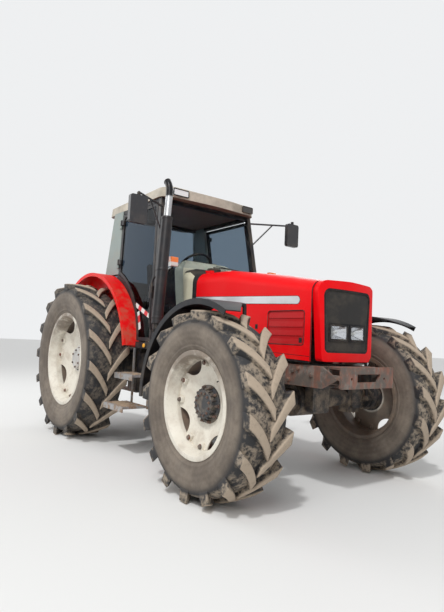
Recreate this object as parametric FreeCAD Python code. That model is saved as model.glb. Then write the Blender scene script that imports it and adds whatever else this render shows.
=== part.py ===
"""Farm tractor with cab, four driven wheels and a rear linkage.

Millimetres. +X points forward, +Y to the driver's left, +Z up. Everything is laid out from the
rear axle (x = 0) and the ground (z = 0), and moved by -CENTRE_X when it is written, so that the
origin lies on the ground in the middle of the whole tractor.
"""
import FreeCAD
import Part
import math
import os

V = FreeCAD.Vector

# Wheels
WHEELBASE = 2600.0
FRONT_TYRE_R = 667.0          # out to the lug tips
FRONT_TYRE_W = 380.0
FRONT_TRACK_HALF = 930.0
FRONT_SEAT_R = 356.0          # 28 inch bead seat
REAR_TYRE_R = 838.0
REAR_TYRE_W = 430.0
REAR_TRACK_HALF = 890.0
REAR_SEAT_R = 483.0           # 38 inch bead seat
RIM_FLANGE_H = 25.0
RIM_WALL = 9.0
FRONT_HUB_FACE_Y = 1000.0
REAR_HUB_FACE_Y = 925.0

# Front and rear reach from the rear axle
FRONT_REACH = WHEELBASE + FRONT_TYRE_R
PLATE_FRONT_X = WHEELBASE + 654.0
REAR_REACH = 1050.0
CENTRE_X = (FRONT_REACH - REAR_REACH) / 2
FRONT_AXLE_Z = FRONT_TYRE_R
REAR_AXLE_Z = REAR_TYRE_R

# Hood
HOOD_REAR_X = 1495.0
HOOD_SEAM_X = WHEELBASE + 385.0
NOSE_X = HOOD_SEAM_X + 85.0
HOOD_HALF_W = 344.0
HOOD_WALL = 14.0
HOOD_BOTTOM_REAR_Z = 1045.0
HOOD_BOTTOM_FRONT_Z = 1002.0
HOOD_HINGE_X = HOOD_REAR_X - 19.0
HOOD_HINGE_Z = 1794.0
HOOD_PIN_R = 8.0
HOOD_EAR_Y = 160.0            # ears of the cowl that hold the hood's pins
SEAM_GAP = 0.6

# Cab
FLOOR_Z = 1045.0              # top of the floor plate
FLOOR_T = 40.0
CAB_BOTTOM_Z = 1070.0         # bottom line of the side walls
CAB_TOP_Z = 2540.0            # underside of the roof
CAB_BOTTOM_Y = 712.0          # outer side of the wall at the bottom
CAB_TOP_Y = 588.0
FRONT_POST_T = 40.0
REAR_POST_T = 50.0
FRONT_POST_BOTTOM_X = HOOD_REAR_X - 133.0
FRONT_POST_TOP_X = FRONT_POST_BOTTOM_X - 216.0
FRONT_POST_W = 52.0
REAR_POST_FRONT_X = 385.0
REAR_POST_TOP_X = 290.0
FENDER_TYRE_GAP = 147.0
FENDER_OUTER_R = REAR_TYRE_R + FENDER_TYRE_GAP
FENDER_WALL = 9.0
FENDER_OUTER_Y = 820.0
FENDER_INNER_Y = 650.0
FENDER_END = 127.0            # degrees from the front, over the top to the tail
SHOULDER_Z = REAR_AXLE_Z + 0.97665 * FENDER_OUTER_R    # where the fenders end at the rear post
DOOR_GAP = 10.0
DOOR_ARC_GAP = 57.0
DOOR_ARC_R = FENDER_OUTER_R + DOOR_ARC_GAP    # lower rear edge of the door, about the rear axle
DOOR_BAR = 34.0
DOOR_T = 26.0
GLASS_T = 6.0
ROOF_EDGE_H = 96.0

# Steering and running gaps
KINGPIN_Y = 680.0
RUN_CLEAR = 0.3               # between turning faces
HUB_DEPTH = 74.0              # hub behind the disc
HUB_SINK = 70.0               # disc behind the hub's outer face


def box(x0, x1, y0, y1, z0, z1):
    """Plain block between two corners."""
    return Part.makeBox(x1 - x0, y1 - y0, z1 - z0, V(x0, y0, z0))


def rod(start, end, radius):
    """Round bar between two points."""
    a, b = V(*start), V(*end)
    return Part.makeCylinder(radius, (b - a).Length, a, b - a)


def disc_y(x, z, radius, y0, y1):
    """Round piece with its axis along Y."""
    return Part.makeCylinder(radius, y1 - y0, V(x, y0, z), V(0, 1, 0))


def mirrored(shape):
    """The same piece on the other side of the tractor."""
    return shape.mirror(V(0, 0, 0), V(0, 1, 0))


def both(shape):
    """The piece with its copy on the other side, as solids that do not touch."""
    return Part.makeCompound([shape, mirrored(shape)])


def rounded(corners, place):
    """Closed wire through corners (a, b, radius): straight runs and tangent arcs.

    place turns a flat point (a, b) into a point in space.
    """
    count = len(corners)
    edges, first, last = [], None, None
    for i in range(count):
        a0, b0, _ = corners[i - 1]
        a1, b1, radius = corners[i]
        a2, b2, _ = corners[(i + 1) % count]
        here = V(a1, b1, 0)
        back, ahead = V(a0, b0, 0) - here, V(a2, b2, 0) - here
        back.normalize()
        ahead.normalize()
        if radius <= 0:
            start = end = here
        else:
            half = back.getAngle(ahead) / 2
            reach = radius / math.tan(half)
            start, end = here + back * reach, here + ahead * reach
            inward = back + ahead
            inward.normalize()
            middle = here + inward * (radius / math.sin(half) - radius)
        if last is not None and (start - last).Length > 1e-6:
            edges.append(Part.LineSegment(place(last), place(start)).toShape())
        if first is None:
            first = start
        if radius > 0:
            edges.append(Part.Arc(place(start), place(middle), place(end)).toShape())
        last = end
    if (first - last).Length > 1e-6:
        edges.append(Part.LineSegment(place(last), place(first)).toShape())
    return Part.Wire(edges)


def plan(z):
    """Flat points (x, y) at the height z."""
    return lambda p: V(p.x, p.y, z)


def side(y):
    """Flat points (x, z) at the distance y from the middle plane."""
    return lambda p: V(p.x, y, p.y)


def front(x):
    """Flat points (y, z) at the distance x from the rear axle."""
    return lambda p: V(x, p.x, p.y)


def square(corners):
    """Corner table without radii, for rounded()."""
    return [(a, b, 0) for a, b in corners]


def prism_y(corners, y0, y1):
    """Side outline (x, z, radius) given a width from y0 to y1."""
    return Part.Face(rounded(corners, side(y0))).extrude(V(0, y1 - y0, 0))


def prism_x(corners, x0, x1):
    """Front outline (y, z, radius) given a length from x0 to x1."""
    return Part.Face(rounded(corners, front(x0))).extrude(V(x1 - x0, 0, 0))


def prism_z(corners, z0, z1):
    """Plan outline (x, y, radius) given a height from z0 to z1."""
    return Part.Face(rounded(corners, plan(z0))).extrude(V(0, 0, z1 - z0))


def loft(wires):
    """Ruled solid through closed wires."""
    return Part.makeLoft(wires, True, True)


def turned(corners, x, z):
    """Half section (radius, y, corner radius) turned about the Y axis through x, z."""
    face = Part.Face(rounded(corners, lambda p: V(x + p.x, p.y, z)))
    return face.revolve(V(x, 0, z), V(0, 1, 0), 360)


def bar(start, end, width, height, up=(0, 0, 1)):
    """Square-edged bar between two points, its height along up."""
    a, b = V(*start), V(*end)
    along = b - a
    length = along.Length
    along.normalize()
    across = V(*up).cross(along)
    across.normalize()
    rise = along.cross(across)
    corners = [a + across * (width / 2 * i) + rise * (height / 2 * j)
               for i, j in ((-1, -1), (1, -1), (1, 1), (-1, 1))]
    return Part.Face(Part.makePolygon(corners + corners[:1])).extrude(along * length)


def fused(first, *others):
    """One solid out of pieces that overlap or meet."""
    return first.multiFuse(list(others)).removeSplitter()


def polygon(radius, y, sides, start=0.0):
    """Closed wire of straight sides about the Y axis."""
    turns = [start + 2 * math.pi * i / sides for i in range(sides)]
    corners = [V(radius * math.cos(t), y, radius * math.sin(t)) for t in turns]
    return Part.makePolygon(corners + corners[:1])


def flat_skin(profile, flats, start, place):
    """Flat faces between the points (radius, y) of a profile, repeated about an axis.

    place turns (radius, angle, y) into a point in space.
    """
    faces = []
    for i in range(flats):
        low, high = start + 2 * math.pi * i / flats, start + 2 * math.pi * (i + 1) / flats
        for (r0, y0), (r1, y1) in zip(profile, profile[1:]):
            corners = [place(r0, low, y0), place(r1, low, y1), place(r1, high, y1), place(r0, high, y0)]
            faces.append(Part.Face(Part.makePolygon(corners + corners[:1])))
    return faces


def closed_solid(faces):
    """Solid bounded by faces that share all their edges."""
    shell = Part.makeShell(faces)
    shell.sewShape()
    solid = Part.makeSolid(shell)
    if solid.Volume < 0:
        solid.reverse()
    return solid


def flat_ring(profile, flats, start, place):
    """Ring with flat sides and the closed section profile."""
    return closed_solid(flat_skin(profile + profile[:1], flats, start, place))


def arc_solid(x, z, r_in, r_out, start_deg, end_deg, y0, y1):
    """Part of a ring about the Y axis, angles from +X towards +Z."""
    def at(radius, deg):
        return V(x + radius * math.cos(math.radians(deg)), y0,
                 z + radius * math.sin(math.radians(deg)))
    middle = (start_deg + end_deg) / 2
    edges = [
        Part.Arc(at(r_out, start_deg), at(r_out, middle), at(r_out, end_deg)).toShape(),
        Part.LineSegment(at(r_out, end_deg), at(r_in, end_deg)).toShape(),
        Part.Arc(at(r_in, end_deg), at(r_in, middle), at(r_in, start_deg)).toShape(),
        Part.LineSegment(at(r_in, start_deg), at(r_out, start_deg)).toShape(),
    ]
    return Part.Face(Part.Wire(edges)).extrude(V(0, y1 - y0, 0))


# Wheels

LUG_PAIRS = 16
WHEEL_FLATS = 2 * LUG_PAIRS   # flat sides of the carcass and the rim
LUG_H = 38.0
LUG_W = 36.0                  # across the top
LUG_FOOT = 54.0
LUG_SWEEP = math.radians(20)  # how far a lug runs round the tyre on its way out
LUG_BEND = 0.45               # share of the sweep at the lug's bend
LUG_OVERLAP = 12.0            # inner ends past the middle of the tread
LUG_OUTER_DROP = 8.0
SHOULDER_DROP = 96.0          # side wall's top edge under the lug tips
CAVITY_DROP = 104.0
CAVITY_IN = 48.0
BEAD_W = 34.0
BEAD_SHARE = 0.11             # beads in from the side walls, as a share of the width
BULGE_IN = 9.0


def wheel_start(radius):
    """Angle of the first corner of the carcass, so that one lug's tip stands on the ground."""
    return -math.pi / 2 + LUG_W / 2 / radius + LUG_SWEEP - math.pi / LUG_PAIRS / 2


def tyre(x, radius, width, seat_r, track):
    """Hollow tyre with two staggered rows of swept lugs, its beads on the rim's seats."""
    pitch = 2 * math.pi / LUG_PAIRS
    half = width / 2
    first = -math.pi / 2 + LUG_W / 2 / radius
    top, foot = LUG_W / 2 / radius, LUG_FOOT / 2 / radius
    floor_r = radius - LUG_H
    faces = []

    def place(r, turn, y):
        return V(x + r * math.cos(turn), track + y, radius + r * math.sin(turn))

    def skin(*corners):
        for i in range(1, len(corners) - 1):
            tri = [corners[0], corners[i], corners[i + 1], corners[0]]
            faces.append(Part.Face(Part.makePolygon(tri)))

    def lug_turn(i, side, share):
        return first + pitch * (i + (0 if side > 0 else 0.5)) + LUG_SWEEP * share

    def across(i, side, share, y):
        """Foot, edge, edge and foot of a lug at a share of its sweep."""
        turn = lug_turn(i, side, share)
        return [place(floor_r, turn - foot, y), place(radius, turn - top, y),
                place(radius, turn + top, y), place(floor_r, turn + foot, y)]

    def outer_end(i, side):
        """Feet of a lug on the side wall's edge, and its two upper corners."""
        turn, y = lug_turn(i, side, 1), side * half
        return ([place(radius - SHOULDER_DROP, turn + t, side * (half - BULGE_IN)) for t in (-foot, foot)],
                [place(radius - LUG_OUTER_DROP, turn + t, y) for t in (-top, top)])

    flange = seat_r + RIM_FLANGE_H
    bead_y = half * (1 - 2 * BEAD_SHARE)
    bulge_r = (flange + radius) / 2 - 12
    for i in range(LUG_PAIRS):
        for side in (1, -1):
            inner = across(i, side, 0, -side * LUG_OVERLAP)
            bend = across(i, side, LUG_BEND, side * half / 2)
            (wall_a, wall_b), (tip_a, tip_b) = outer_end(i, side)
            after = i + 1
            facing = across(i if side > 0 else after, -side, 0, side * LUG_OVERLAP)
            next_inner = across(after, side, 0, -side * LUG_OVERLAP)
            next_bend = across(after, side, LUG_BEND, side * half / 2)
            next_wall = outer_end(after, side)[0][0]
            for k in range(3):
                skin(inner[k], inner[k + 1], bend[k + 1], bend[k])
            skin(*inner)
            skin(bend[0], bend[1], tip_a, wall_a)
            skin(bend[1], bend[2], tip_b, tip_a)
            skin(bend[2], bend[3], wall_b, tip_b)
            skin(wall_a, tip_a, tip_b, wall_b)
            skin(bend[3], inner[3], facing[0])
            skin(bend[3], facing[0], facing[3])
            skin(bend[3], facing[3], next_bend[0])
            skin(facing[3], next_inner[0], next_bend[0])
            skin(bend[3], wall_b, next_wall, next_bend[0])
            turn = lug_turn(i, side, 1)
            low_a, low_b, next_low = [place(bulge_r, turn + t * pitch, side * half)
                                      for t in (-0.25, 0.25, 0.75)]
            skin(wall_a, wall_b, low_b, low_a)
            skin(wall_b, next_wall, next_low, low_b)
    right = [(bulge_r, -half), (flange, -bead_y), (seat_r, -bead_y), (seat_r, BEAD_W - bead_y),
             (radius - CAVITY_DROP, CAVITY_IN - half)]
    left = [(r, -y) for r, y in reversed(right)]
    faces += flat_skin(right + left, WHEEL_FLATS, wheel_start(radius), place)
    return closed_solid(faces)


WELL_DROP = 34.0              # drop centre under the seats
DISC_T = 12.0
WINDOW_SIDES = 7              # straight sides along the inner edge of an opening
WINDOW_TURNS = (30.0, 120.0, 210.0, 300.0)
HUB_SIDES = 24


def rim(x, z, seat_r, track, width, hub_face, hub_r, dish, window_r, clamp):
    """Barrel with flanges and drop centre, dished disc with four openings, clamps and hub."""
    start = wheel_start(z)

    def place(r, turn, y):
        return V(x + r * math.cos(turn), y, z + r * math.sin(turn))

    bead_in = width * BEAD_SHARE
    y0, y1 = track - width / 2 + bead_in, track + width / 2 - bead_in
    flange = seat_r + RIM_FLANGE_H
    well_r = seat_r - WELL_DROP
    inner_r = well_r - RIM_WALL
    barrel = flat_ring([
        (flange, y0 - RIM_WALL), (flange, y0), (seat_r, y0), (seat_r, y0 + 36), (well_r, y0 + 70),
        (well_r, y1 - 70), (seat_r, y1 - 36), (seat_r, y1), (flange, y1), (flange, y1 + RIM_WALL),
        (seat_r - RIM_WALL, y1 + RIM_WALL), (inner_r, y1 - 70), (inner_r, y0 + 70),
        (seat_r - RIM_WALL, y0 - RIM_WALL)], WHEEL_FLATS, start, place)
    flat_r = hub_r * 1.45
    face_y = hub_face - HUB_SINK
    disc = flat_ring([
        (hub_r * 0.8, face_y), (flat_r, face_y), (well_r - RIM_WALL / 2, face_y + dish),
        (well_r - RIM_WALL / 2, face_y + dish + DISC_T), (flat_r, face_y + DISC_T),
        (hub_r * 0.8, face_y + DISC_T)], WHEEL_FLATS, start, place)
    centre_r = inner_r + window_r * 0.35
    for deg in WINDOW_TURNS:
        turn = math.radians(deg)
        a, b = x + centre_r * math.cos(turn), z + centre_r * math.sin(turn)
        inward = [turn + math.pi * (0.5 + i / WINDOW_SIDES) for i in range(WINDOW_SIDES + 1)]
        outline = [(a + window_r * math.cos(t), b + window_r * math.sin(t)) for t in inward]
        disc = disc.cut(prism_y(square(outline), face_y - 100, face_y + 200))
    pieces = [disc]
    for deg in WINDOW_TURNS:
        for offset in (45 - clamp, 45 + clamp):
            block = box(inner_r - 46, inner_r + 3, face_y + dish - 26, face_y + dish + 26, -24, 24)
            block.rotate(V(0, 0, 0), V(0, 1, 0), -(deg + offset))
            block.translate(V(x, 0, z))
            pieces.append(block)
    hub_profile = [(hub_r * 1.12, -HUB_DEPTH), (hub_r * 1.12, 0), (hub_r * 1.25, 1), (hub_r * 1.25, 24),
                   (hub_r, 30), (hub_r * 0.94, HUB_SINK - 6), (hub_r * 0.78, HUB_SINK)]
    hub = loft([polygon(r, y, HUB_SIDES) for r, y in hub_profile])
    hub.translate(V(x, face_y, z))
    return fused(barrel, *pieces, hub)


def wheels():
    """Tyres and rims of the four wheels, left ones modelled and the others mirrored."""
    table = [
        # name, x, radius, width, seat radius, track, hub face, hub radius, dish, opening, clamps
        ("front", WHEELBASE, FRONT_TYRE_R, FRONT_TYRE_W, FRONT_SEAT_R, FRONT_TRACK_HALF,
         FRONT_HUB_FACE_Y, 108.0, 46.0, 118.0, 15.0),
        ("rear", 0.0, REAR_TYRE_R, REAR_TYRE_W, REAR_SEAT_R, REAR_TRACK_HALF,
         REAR_HUB_FACE_Y, 122.0, 70.0, 150.0, 12.0),
    ]
    for name, x, radius, width, seat_r, track, face, hub_r, dish, window_r, clamp in table:
        left_tyre = tyre(x, radius, width, seat_r, track)
        left_rim = rim(x, radius, seat_r, track, width, face, hub_r, dish, window_r, clamp)
        write("tyre_%s_left" % name, left_tyre)
        write("tyre_%s_right" % name, mirrored(left_tyre))
        write("rim_%s_left" % name, left_rim)
        write("rim_%s_right" % name, mirrored(left_rim))


# Front axle and steering

YOKE_GAP = 92.0               # half the height between the yoke's arms
YOKE_T = 34.0
KNUCKLE_R = 82.0
KINGPIN_R = 24.0
AXLE_PIVOT_R = 58.0
ARM_REACH = 165.0             # steering arm, behind the kingpin
RAM_Z = 100.0                 # ram's height over the axle centre
RAM_R = 34.0
RAM_HALF = 185.0
ROD_R = 13.0
TRUNNION_REAR = 312.0
TRUNNION_FRONT = 216.0
YOKE_BACK_Y = 580.0
EAR_X = 115.0                 # fender tubes, before and behind the kingpin
EAR_Y = 716.0
EAR_TOP = 20.0


def axle_core():
    """Differential and the two tapered tubes of the front axle."""
    x, z = WHEELBASE, FRONT_AXLE_Z
    tube = Part.makeCone(92, 62, 420, V(x, 130, z), V(0, 1, 0))
    return fused(disc_y(x, z, 128, -130, 130), tube, mirrored(tube))


def front_axle():
    """Beam with trunnions, a yoke at each end and the steering ram behind it."""
    x, z = WHEELBASE, FRONT_AXLE_Z
    trunnions = rod((x - TRUNNION_REAR, 0, z), (x + TRUNNION_FRONT, 0, z), AXLE_PIVOT_R - RUN_CLEAR)
    arms = box(x - 50, x + 50, 540, YOKE_BACK_Y, z - YOKE_GAP - YOKE_T, z + YOKE_GAP + YOKE_T)
    for low in (z - YOKE_GAP - YOKE_T, z + YOKE_GAP):
        plate = prism_z([(x - 50, 560, 0), (x + 50, 560, 0), (x + 56, KINGPIN_Y, 0),
                         (x + 36, KINGPIN_Y + 50, 30), (x - 36, KINGPIN_Y + 50, 30),
                         (x - 56, KINGPIN_Y, 0)], low, low + YOKE_T)
        arms = arms.fuse(plate)
    arms = arms.cut(rod((x, KINGPIN_Y, z - 200), (x, KINGPIN_Y, z + 200), KINGPIN_R + RUN_CLEAR))
    ram_x, ram_z = x - ARM_REACH, z + RAM_Z
    lug = box(ram_x + 20, x - 40, 84, 136, ram_z - 22, ram_z + 22)
    ram = fused(disc_y(ram_x, ram_z, RAM_R, -RAM_HALF, RAM_HALF), lug, mirrored(lug))
    whole = fused(axle_core(), trunnions, arms, mirrored(arms), ram)
    write("front_axle", whole.cut(disc_y(ram_x, ram_z, ROD_R + RUN_CLEAR, -RAM_HALF - 1, RAM_HALF + 1)))


def knuckle():
    """Left steering knuckle: kingpin boss, spindle, steering arm and ears for the fender."""
    x, z = WHEELBASE, FRONT_AXLE_Z
    boss = rod((x, KINGPIN_Y, z - YOKE_GAP + 1), (x, KINGPIN_Y, z + YOKE_GAP - 1), KNUCKLE_R)
    pins = rod((x, KINGPIN_Y, z - YOKE_GAP - YOKE_T), (x, KINGPIN_Y, z + YOKE_GAP + YOKE_T),
               KINGPIN_R)
    hub_start = FRONT_HUB_FACE_Y - HUB_SINK - HUB_DEPTH
    spindle = disc_y(x, z, 78, KINGPIN_Y, hub_start - RUN_CLEAR)
    flange = disc_y(x, z, 112, KINGPIN_Y + 88, KINGPIN_Y + 118)
    arm = prism_z([(x, KINGPIN_Y - 40, 0), (x, KINGPIN_Y + 16, 0),
                   (x - ARM_REACH - 26, KINGPIN_Y + 12, 12),
                   (x - ARM_REACH - 26, KINGPIN_Y - 36, 20)],
                  z + RAM_Z - 46, z + RAM_Z - 18)
    cross = box(x - EAR_X - 20, x + EAR_X + 20, KINGPIN_Y + 64, KINGPIN_Y + 88, z - 30, z + EAR_TOP)
    ears = [box(x + sign * EAR_X - 20, x + sign * EAR_X + 20, EAR_Y - 16, KINGPIN_Y + 88, z - 20,
                z + EAR_TOP) for sign in (-1, 1)]
    return fused(boss, pins, spindle, flange, arm, cross, *ears)


def track_rods():
    """Sliding rod of the ram, with an eye over each steering arm."""
    x, z = WHEELBASE - ARM_REACH, FRONT_AXLE_Z + RAM_Z
    eye = Part.makeCylinder(26, 34, V(x, KINGPIN_Y, z - 17))
    rods = fused(disc_y(x, z, ROD_R, -KINGPIN_Y, KINGPIN_Y), eye, mirrored(eye))
    write("track_rods", rods)


FENDER_F_GAP = 68.0
FENDER_F_IN_R = FRONT_TYRE_R + FENDER_F_GAP
FENDER_F_T = 8.0
FENDER_F_Y0 = 770.0
FENDER_F_Y1 = 1095.0
FENDER_F_START = -2.0         # degrees above the axle, behind the wheel
FENDER_F_END = 118.0
FENDER_TUBE_R = 15.0
FENDER_TUBE_FRONT = 84.0      # degrees above the axle, in front of the wheel
FENDER_TUBE_REAR = 112.0


def front_fender():
    """Left front fender over the wheel, on two tubes from the knuckle."""
    x, z = WHEELBASE, FRONT_AXLE_Z
    shell = arc_solid(x, z, FENDER_F_IN_R, FENDER_F_IN_R + FENDER_F_T,
                      180 - FENDER_F_END, 180 - FENDER_F_START, FENDER_F_Y0, FENDER_F_Y1)
    lip = arc_solid(x, z, FENDER_F_IN_R - 34, FENDER_F_IN_R + FENDER_F_T,
                    180 - FENDER_F_END, 180 - FENDER_F_START, FENDER_F_Y1, FENDER_F_Y1 + FENDER_F_T)
    rear_cut = prism_z([(x - 900, FENDER_F_Y0 - 10, 0), (x - 300, FENDER_F_Y0 - 10, 0),
                        (x - 900, FENDER_F_Y0 + 110, 0)], z - 200, z + 1000)
    front_cut = prism_z(square([(x + 60, FENDER_F_Y0 - 10), (x + 118, FENDER_F_Y0), (x + 320, FENDER_F_Y0 + 180),
                                (x + 420, FENDER_F_Y1 - 60), (x + 500, FENDER_F_Y0 - 10)]), z, z + 1000)
    shell = shell.cut(rear_cut).cut(front_cut)
    tubes = []
    for deg, sign in ((FENDER_TUBE_FRONT, 1), (FENDER_TUBE_REAR, -1)):
        reach = FENDER_F_IN_R - 10
        knee = (x + reach * math.cos(math.radians(deg)), EAR_Y, z + reach * math.sin(math.radians(deg)))
        foot = (x + sign * EAR_X, EAR_Y, z + EAR_TOP)
        outer = (knee[0], FENDER_F_Y1 - 55, knee[2])
        tubes += [rod(foot, knee, FENDER_TUBE_R), Part.makeSphere(FENDER_TUBE_R, V(*knee)),
                  rod(knee, outer, FENDER_TUBE_R)]
    below = box(x - 300, x + 300, 600, 900, z - 100, z + EAR_TOP)
    return fused(shell, lip, *tubes).cut(below)


def write_steered():
    """Both knuckles and front fenders."""
    left = knuckle()
    write("knuckle_left", left)
    write("knuckle_right", mirrored(left))
    fender = front_fender()
    write("front_fender_left", fender)
    write("front_fender_right", mirrored(fender))


# Drive train and frame

ENGINE_X0 = 1600.0
ENGINE_X1 = WHEELBASE - 210.0
ENGINE_HALF_W = 215.0
ENGINE_Z0 = 735.0
ENGINE_Z1 = 1450.0
GEARBOX_X0 = 300.0
GEARBOX_HALF_W = 200.0
GEARBOX_TOP_Z = 985.0
TRANSFER_X0 = 860.0
TRANSFER_X1 = 1120.0
BELL_Z0 = 700.0               # underside of the clutch housing
RAIL_Y0 = 240.0
RAIL_Y1 = 298.0
RAIL_Z0 = 812.0
RAIL_Z1 = 968.0
FRAME_X0 = ENGINE_X1 - 410.0
FRAME_X1 = WHEELBASE + 465.0
SHAFT_Z = 610.0
RADIATOR_X0 = WHEELBASE - 10.0
RADIATOR_T = 110.0
RADIATOR_HALF_W = 262.0
RADIATOR_TOP_Z = 1500.0
FAN_R = 215.0
CASE_BOTTOM_Z = 540.0
CASE_CORNER = 40.0
AXLE_CASE_HALF_W = 235.0
AXLE_CASE_BACK_X = -330.0


def drive_train():
    """Engine, radiator, gearbox, rear axle and the shaft to the front axle."""
    engine = prism_x([(-ENGINE_HALF_W, ENGINE_Z0 + 60, 20), (-ENGINE_HALF_W + 60, ENGINE_Z0, 20),
                      (ENGINE_HALF_W - 60, ENGINE_Z0, 20), (ENGINE_HALF_W, ENGINE_Z0 + 60, 20),
                      (ENGINE_HALF_W, ENGINE_Z1 - 160, 0), (120, ENGINE_Z1 - 120, 0),
                      (120, ENGINE_Z1, 20), (-120, ENGINE_Z1, 20), (-120, ENGINE_Z1 - 120, 0),
                      (-ENGINE_HALF_W, ENGINE_Z1 - 160, 0)], ENGINE_X0, ENGINE_X1)
    write("engine_block", engine)
    radiator = fused(box(RADIATOR_X0, RADIATOR_X0 + RADIATOR_T, -RADIATOR_HALF_W, RADIATOR_HALF_W,
                         RAIL_Z1, RADIATOR_TOP_Z),
                     Part.makeCylinder(FAN_R, 60, V(RADIATOR_X0 - 60, 0, (RAIL_Z1 + RADIATOR_TOP_Z) / 2),
                                       V(1, 0, 0)))
    write("radiator", radiator)

    def housing(half_w, low, high, x):
        return rounded([(-half_w, low, CASE_CORNER), (half_w, low, CASE_CORNER),
                        (half_w, high, CASE_CORNER), (-half_w, high, CASE_CORNER)], front(x))

    bell = loft([housing(AXLE_CASE_HALF_W, BELL_Z0, GEARBOX_TOP_Z + 15, ENGINE_X0),
                 housing(GEARBOX_HALF_W, BELL_Z0, GEARBOX_TOP_Z, TRANSFER_X1)])
    case = Part.Face(housing(GEARBOX_HALF_W, CASE_BOTTOM_Z, GEARBOX_TOP_Z, GEARBOX_X0)).extrude(
        V(TRANSFER_X0 - GEARBOX_X0, 0, 0))
    link_case = Part.Face(housing(GEARBOX_HALF_W, BELL_Z0, GEARBOX_TOP_Z, TRANSFER_X0)).extrude(
        V(TRANSFER_X1 - TRANSFER_X0, 0, 0))
    transfer_z0 = CASE_BOTTOM_Z - 20
    transfer = prism_x([(-120, transfer_z0, 40), (120, transfer_z0, 40), (120, BELL_Z0 + 40, 0),
                        (-120, BELL_Z0 + 40, 0)], TRANSFER_X0, TRANSFER_X1)
    write("gearbox_housing", fused(bell, case, link_case, transfer))
    z = REAR_AXLE_Z
    low, half_w = CASE_BOTTOM_Z + 20, AXLE_CASE_HALF_W
    middle = prism_x([(-half_w, low, 50), (half_w, low, 50), (half_w, GEARBOX_TOP_Z, 50),
                      (-half_w, GEARBOX_TOP_Z, 50)], AXLE_CASE_BACK_X, GEARBOX_X0)
    hub_start = REAR_HUB_FACE_Y - HUB_SINK - HUB_DEPTH - RUN_CLEAR
    trumpet = fused(Part.makeCone(150, 96, 470, V(0, half_w - 10, z), V(0, 1, 0)),
                    disc_y(0, z, 128, 640, 690), disc_y(0, z, 92, 690, hub_start))
    write("rear_axle", fused(middle, trumpet, mirrored(trumpet), *linkage_carriers()))
    shaft_end = WHEELBASE - TRUNNION_REAR
    shaft = fused(rod((TRANSFER_X1 - 20, 0, SHAFT_Z), (shaft_end - 30, 0, FRONT_AXLE_Z), 36),
                  Part.makeCylinder(54, 40, V(shaft_end - 40, 0, FRONT_AXLE_Z), V(1, 0, 0)))
    write("driveshaft", shaft.cut(transfer))


def front_frame():
    """Side rails, cross members and the blocks that hold the front axle's pivot."""
    rail = prism_y([(FRAME_X0, RAIL_Z0 + 30, 0), (FRAME_X0 + 60, RAIL_Z0, 0), (FRAME_X1, RAIL_Z0, 0),
                    (FRAME_X1, RAIL_Z1, 0), (FRAME_X0, RAIL_Z1, 0)], RAIL_Y0, RAIL_Y1)
    engine_pad = box(FRAME_X0 + 30, FRAME_X0 + 330, ENGINE_HALF_W, RAIL_Y0, RAIL_Z0 + 30, RAIL_Z1)
    rails = fused(rail, engine_pad)
    x, z = WHEELBASE, FRONT_AXLE_Z
    cross = [box(x + 130, x + 215, -RAIL_Y0, RAIL_Y0, RAIL_Z0, RAIL_Z1),
             box(x - 110, x + 110, -RAIL_Y0, RAIL_Y0, RAIL_Z1 - 40, RAIL_Z1),
             box(FRAME_X1 - 60, FRAME_X1, -RAIL_Y0, RAIL_Y0, RAIL_Z0, RAIL_Z1)]
    front_block = prism_x([(-96, z - 84, 30), (96, z - 84, 30), (96, RAIL_Z0 + 10, 0),
                           (-96, RAIL_Z0 + 10, 0)], x + 130, x + 215)
    saddle = prism_x([(-96, z - 84, 30), (96, z - 84, 30), (RAIL_Y1, RAIL_Z0 - 30, 0),
                      (RAIL_Y1, RAIL_Z0 + 30, 0), (ENGINE_HALF_W + 10, RAIL_Z0 + 30, 0),
                      (ENGINE_HALF_W + 10, ENGINE_Z0, 0), (-ENGINE_HALF_W - 10, ENGINE_Z0, 0),
                      (-ENGINE_HALF_W - 10, RAIL_Z0 + 30, 0), (-RAIL_Y1, RAIL_Z0 + 30, 0),
                      (-RAIL_Y1, RAIL_Z0 - 30, 0)], x - 300, x - 240)
    bore = rod((x - 400, 0, z), (x + 300, 0, z), AXLE_PIVOT_R)
    frame = fused(rails, mirrored(rails), *cross, front_block, saddle).cut(bore)
    write("front_frame", frame)


def engine_room():
    """Space of the engine and the radiator, for what is built round them."""
    return box(ENGINE_X0, ENGINE_X1, -ENGINE_HALF_W, ENGINE_HALF_W, ENGINE_Z0, ENGINE_Z1)


PLATE_T = 18.0
PLATE_Z0 = 822.0
PLATE_Z1 = 976.0
PLATE_HALF_W = 302.0
ARROW_X0 = WHEELBASE + 85.0
ARROW_X1 = WHEELBASE + 485.0
ARROW_TIP_X = PLATE_FRONT_X - 22.0
SLOT_Z0 = 868.0
SLOT_Z1 = 926.0
BOLT_HOLE_Y = 190.0
BOLT_HOLE_Z = 892.0
BOLT_HOLE_R = 10.0


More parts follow.
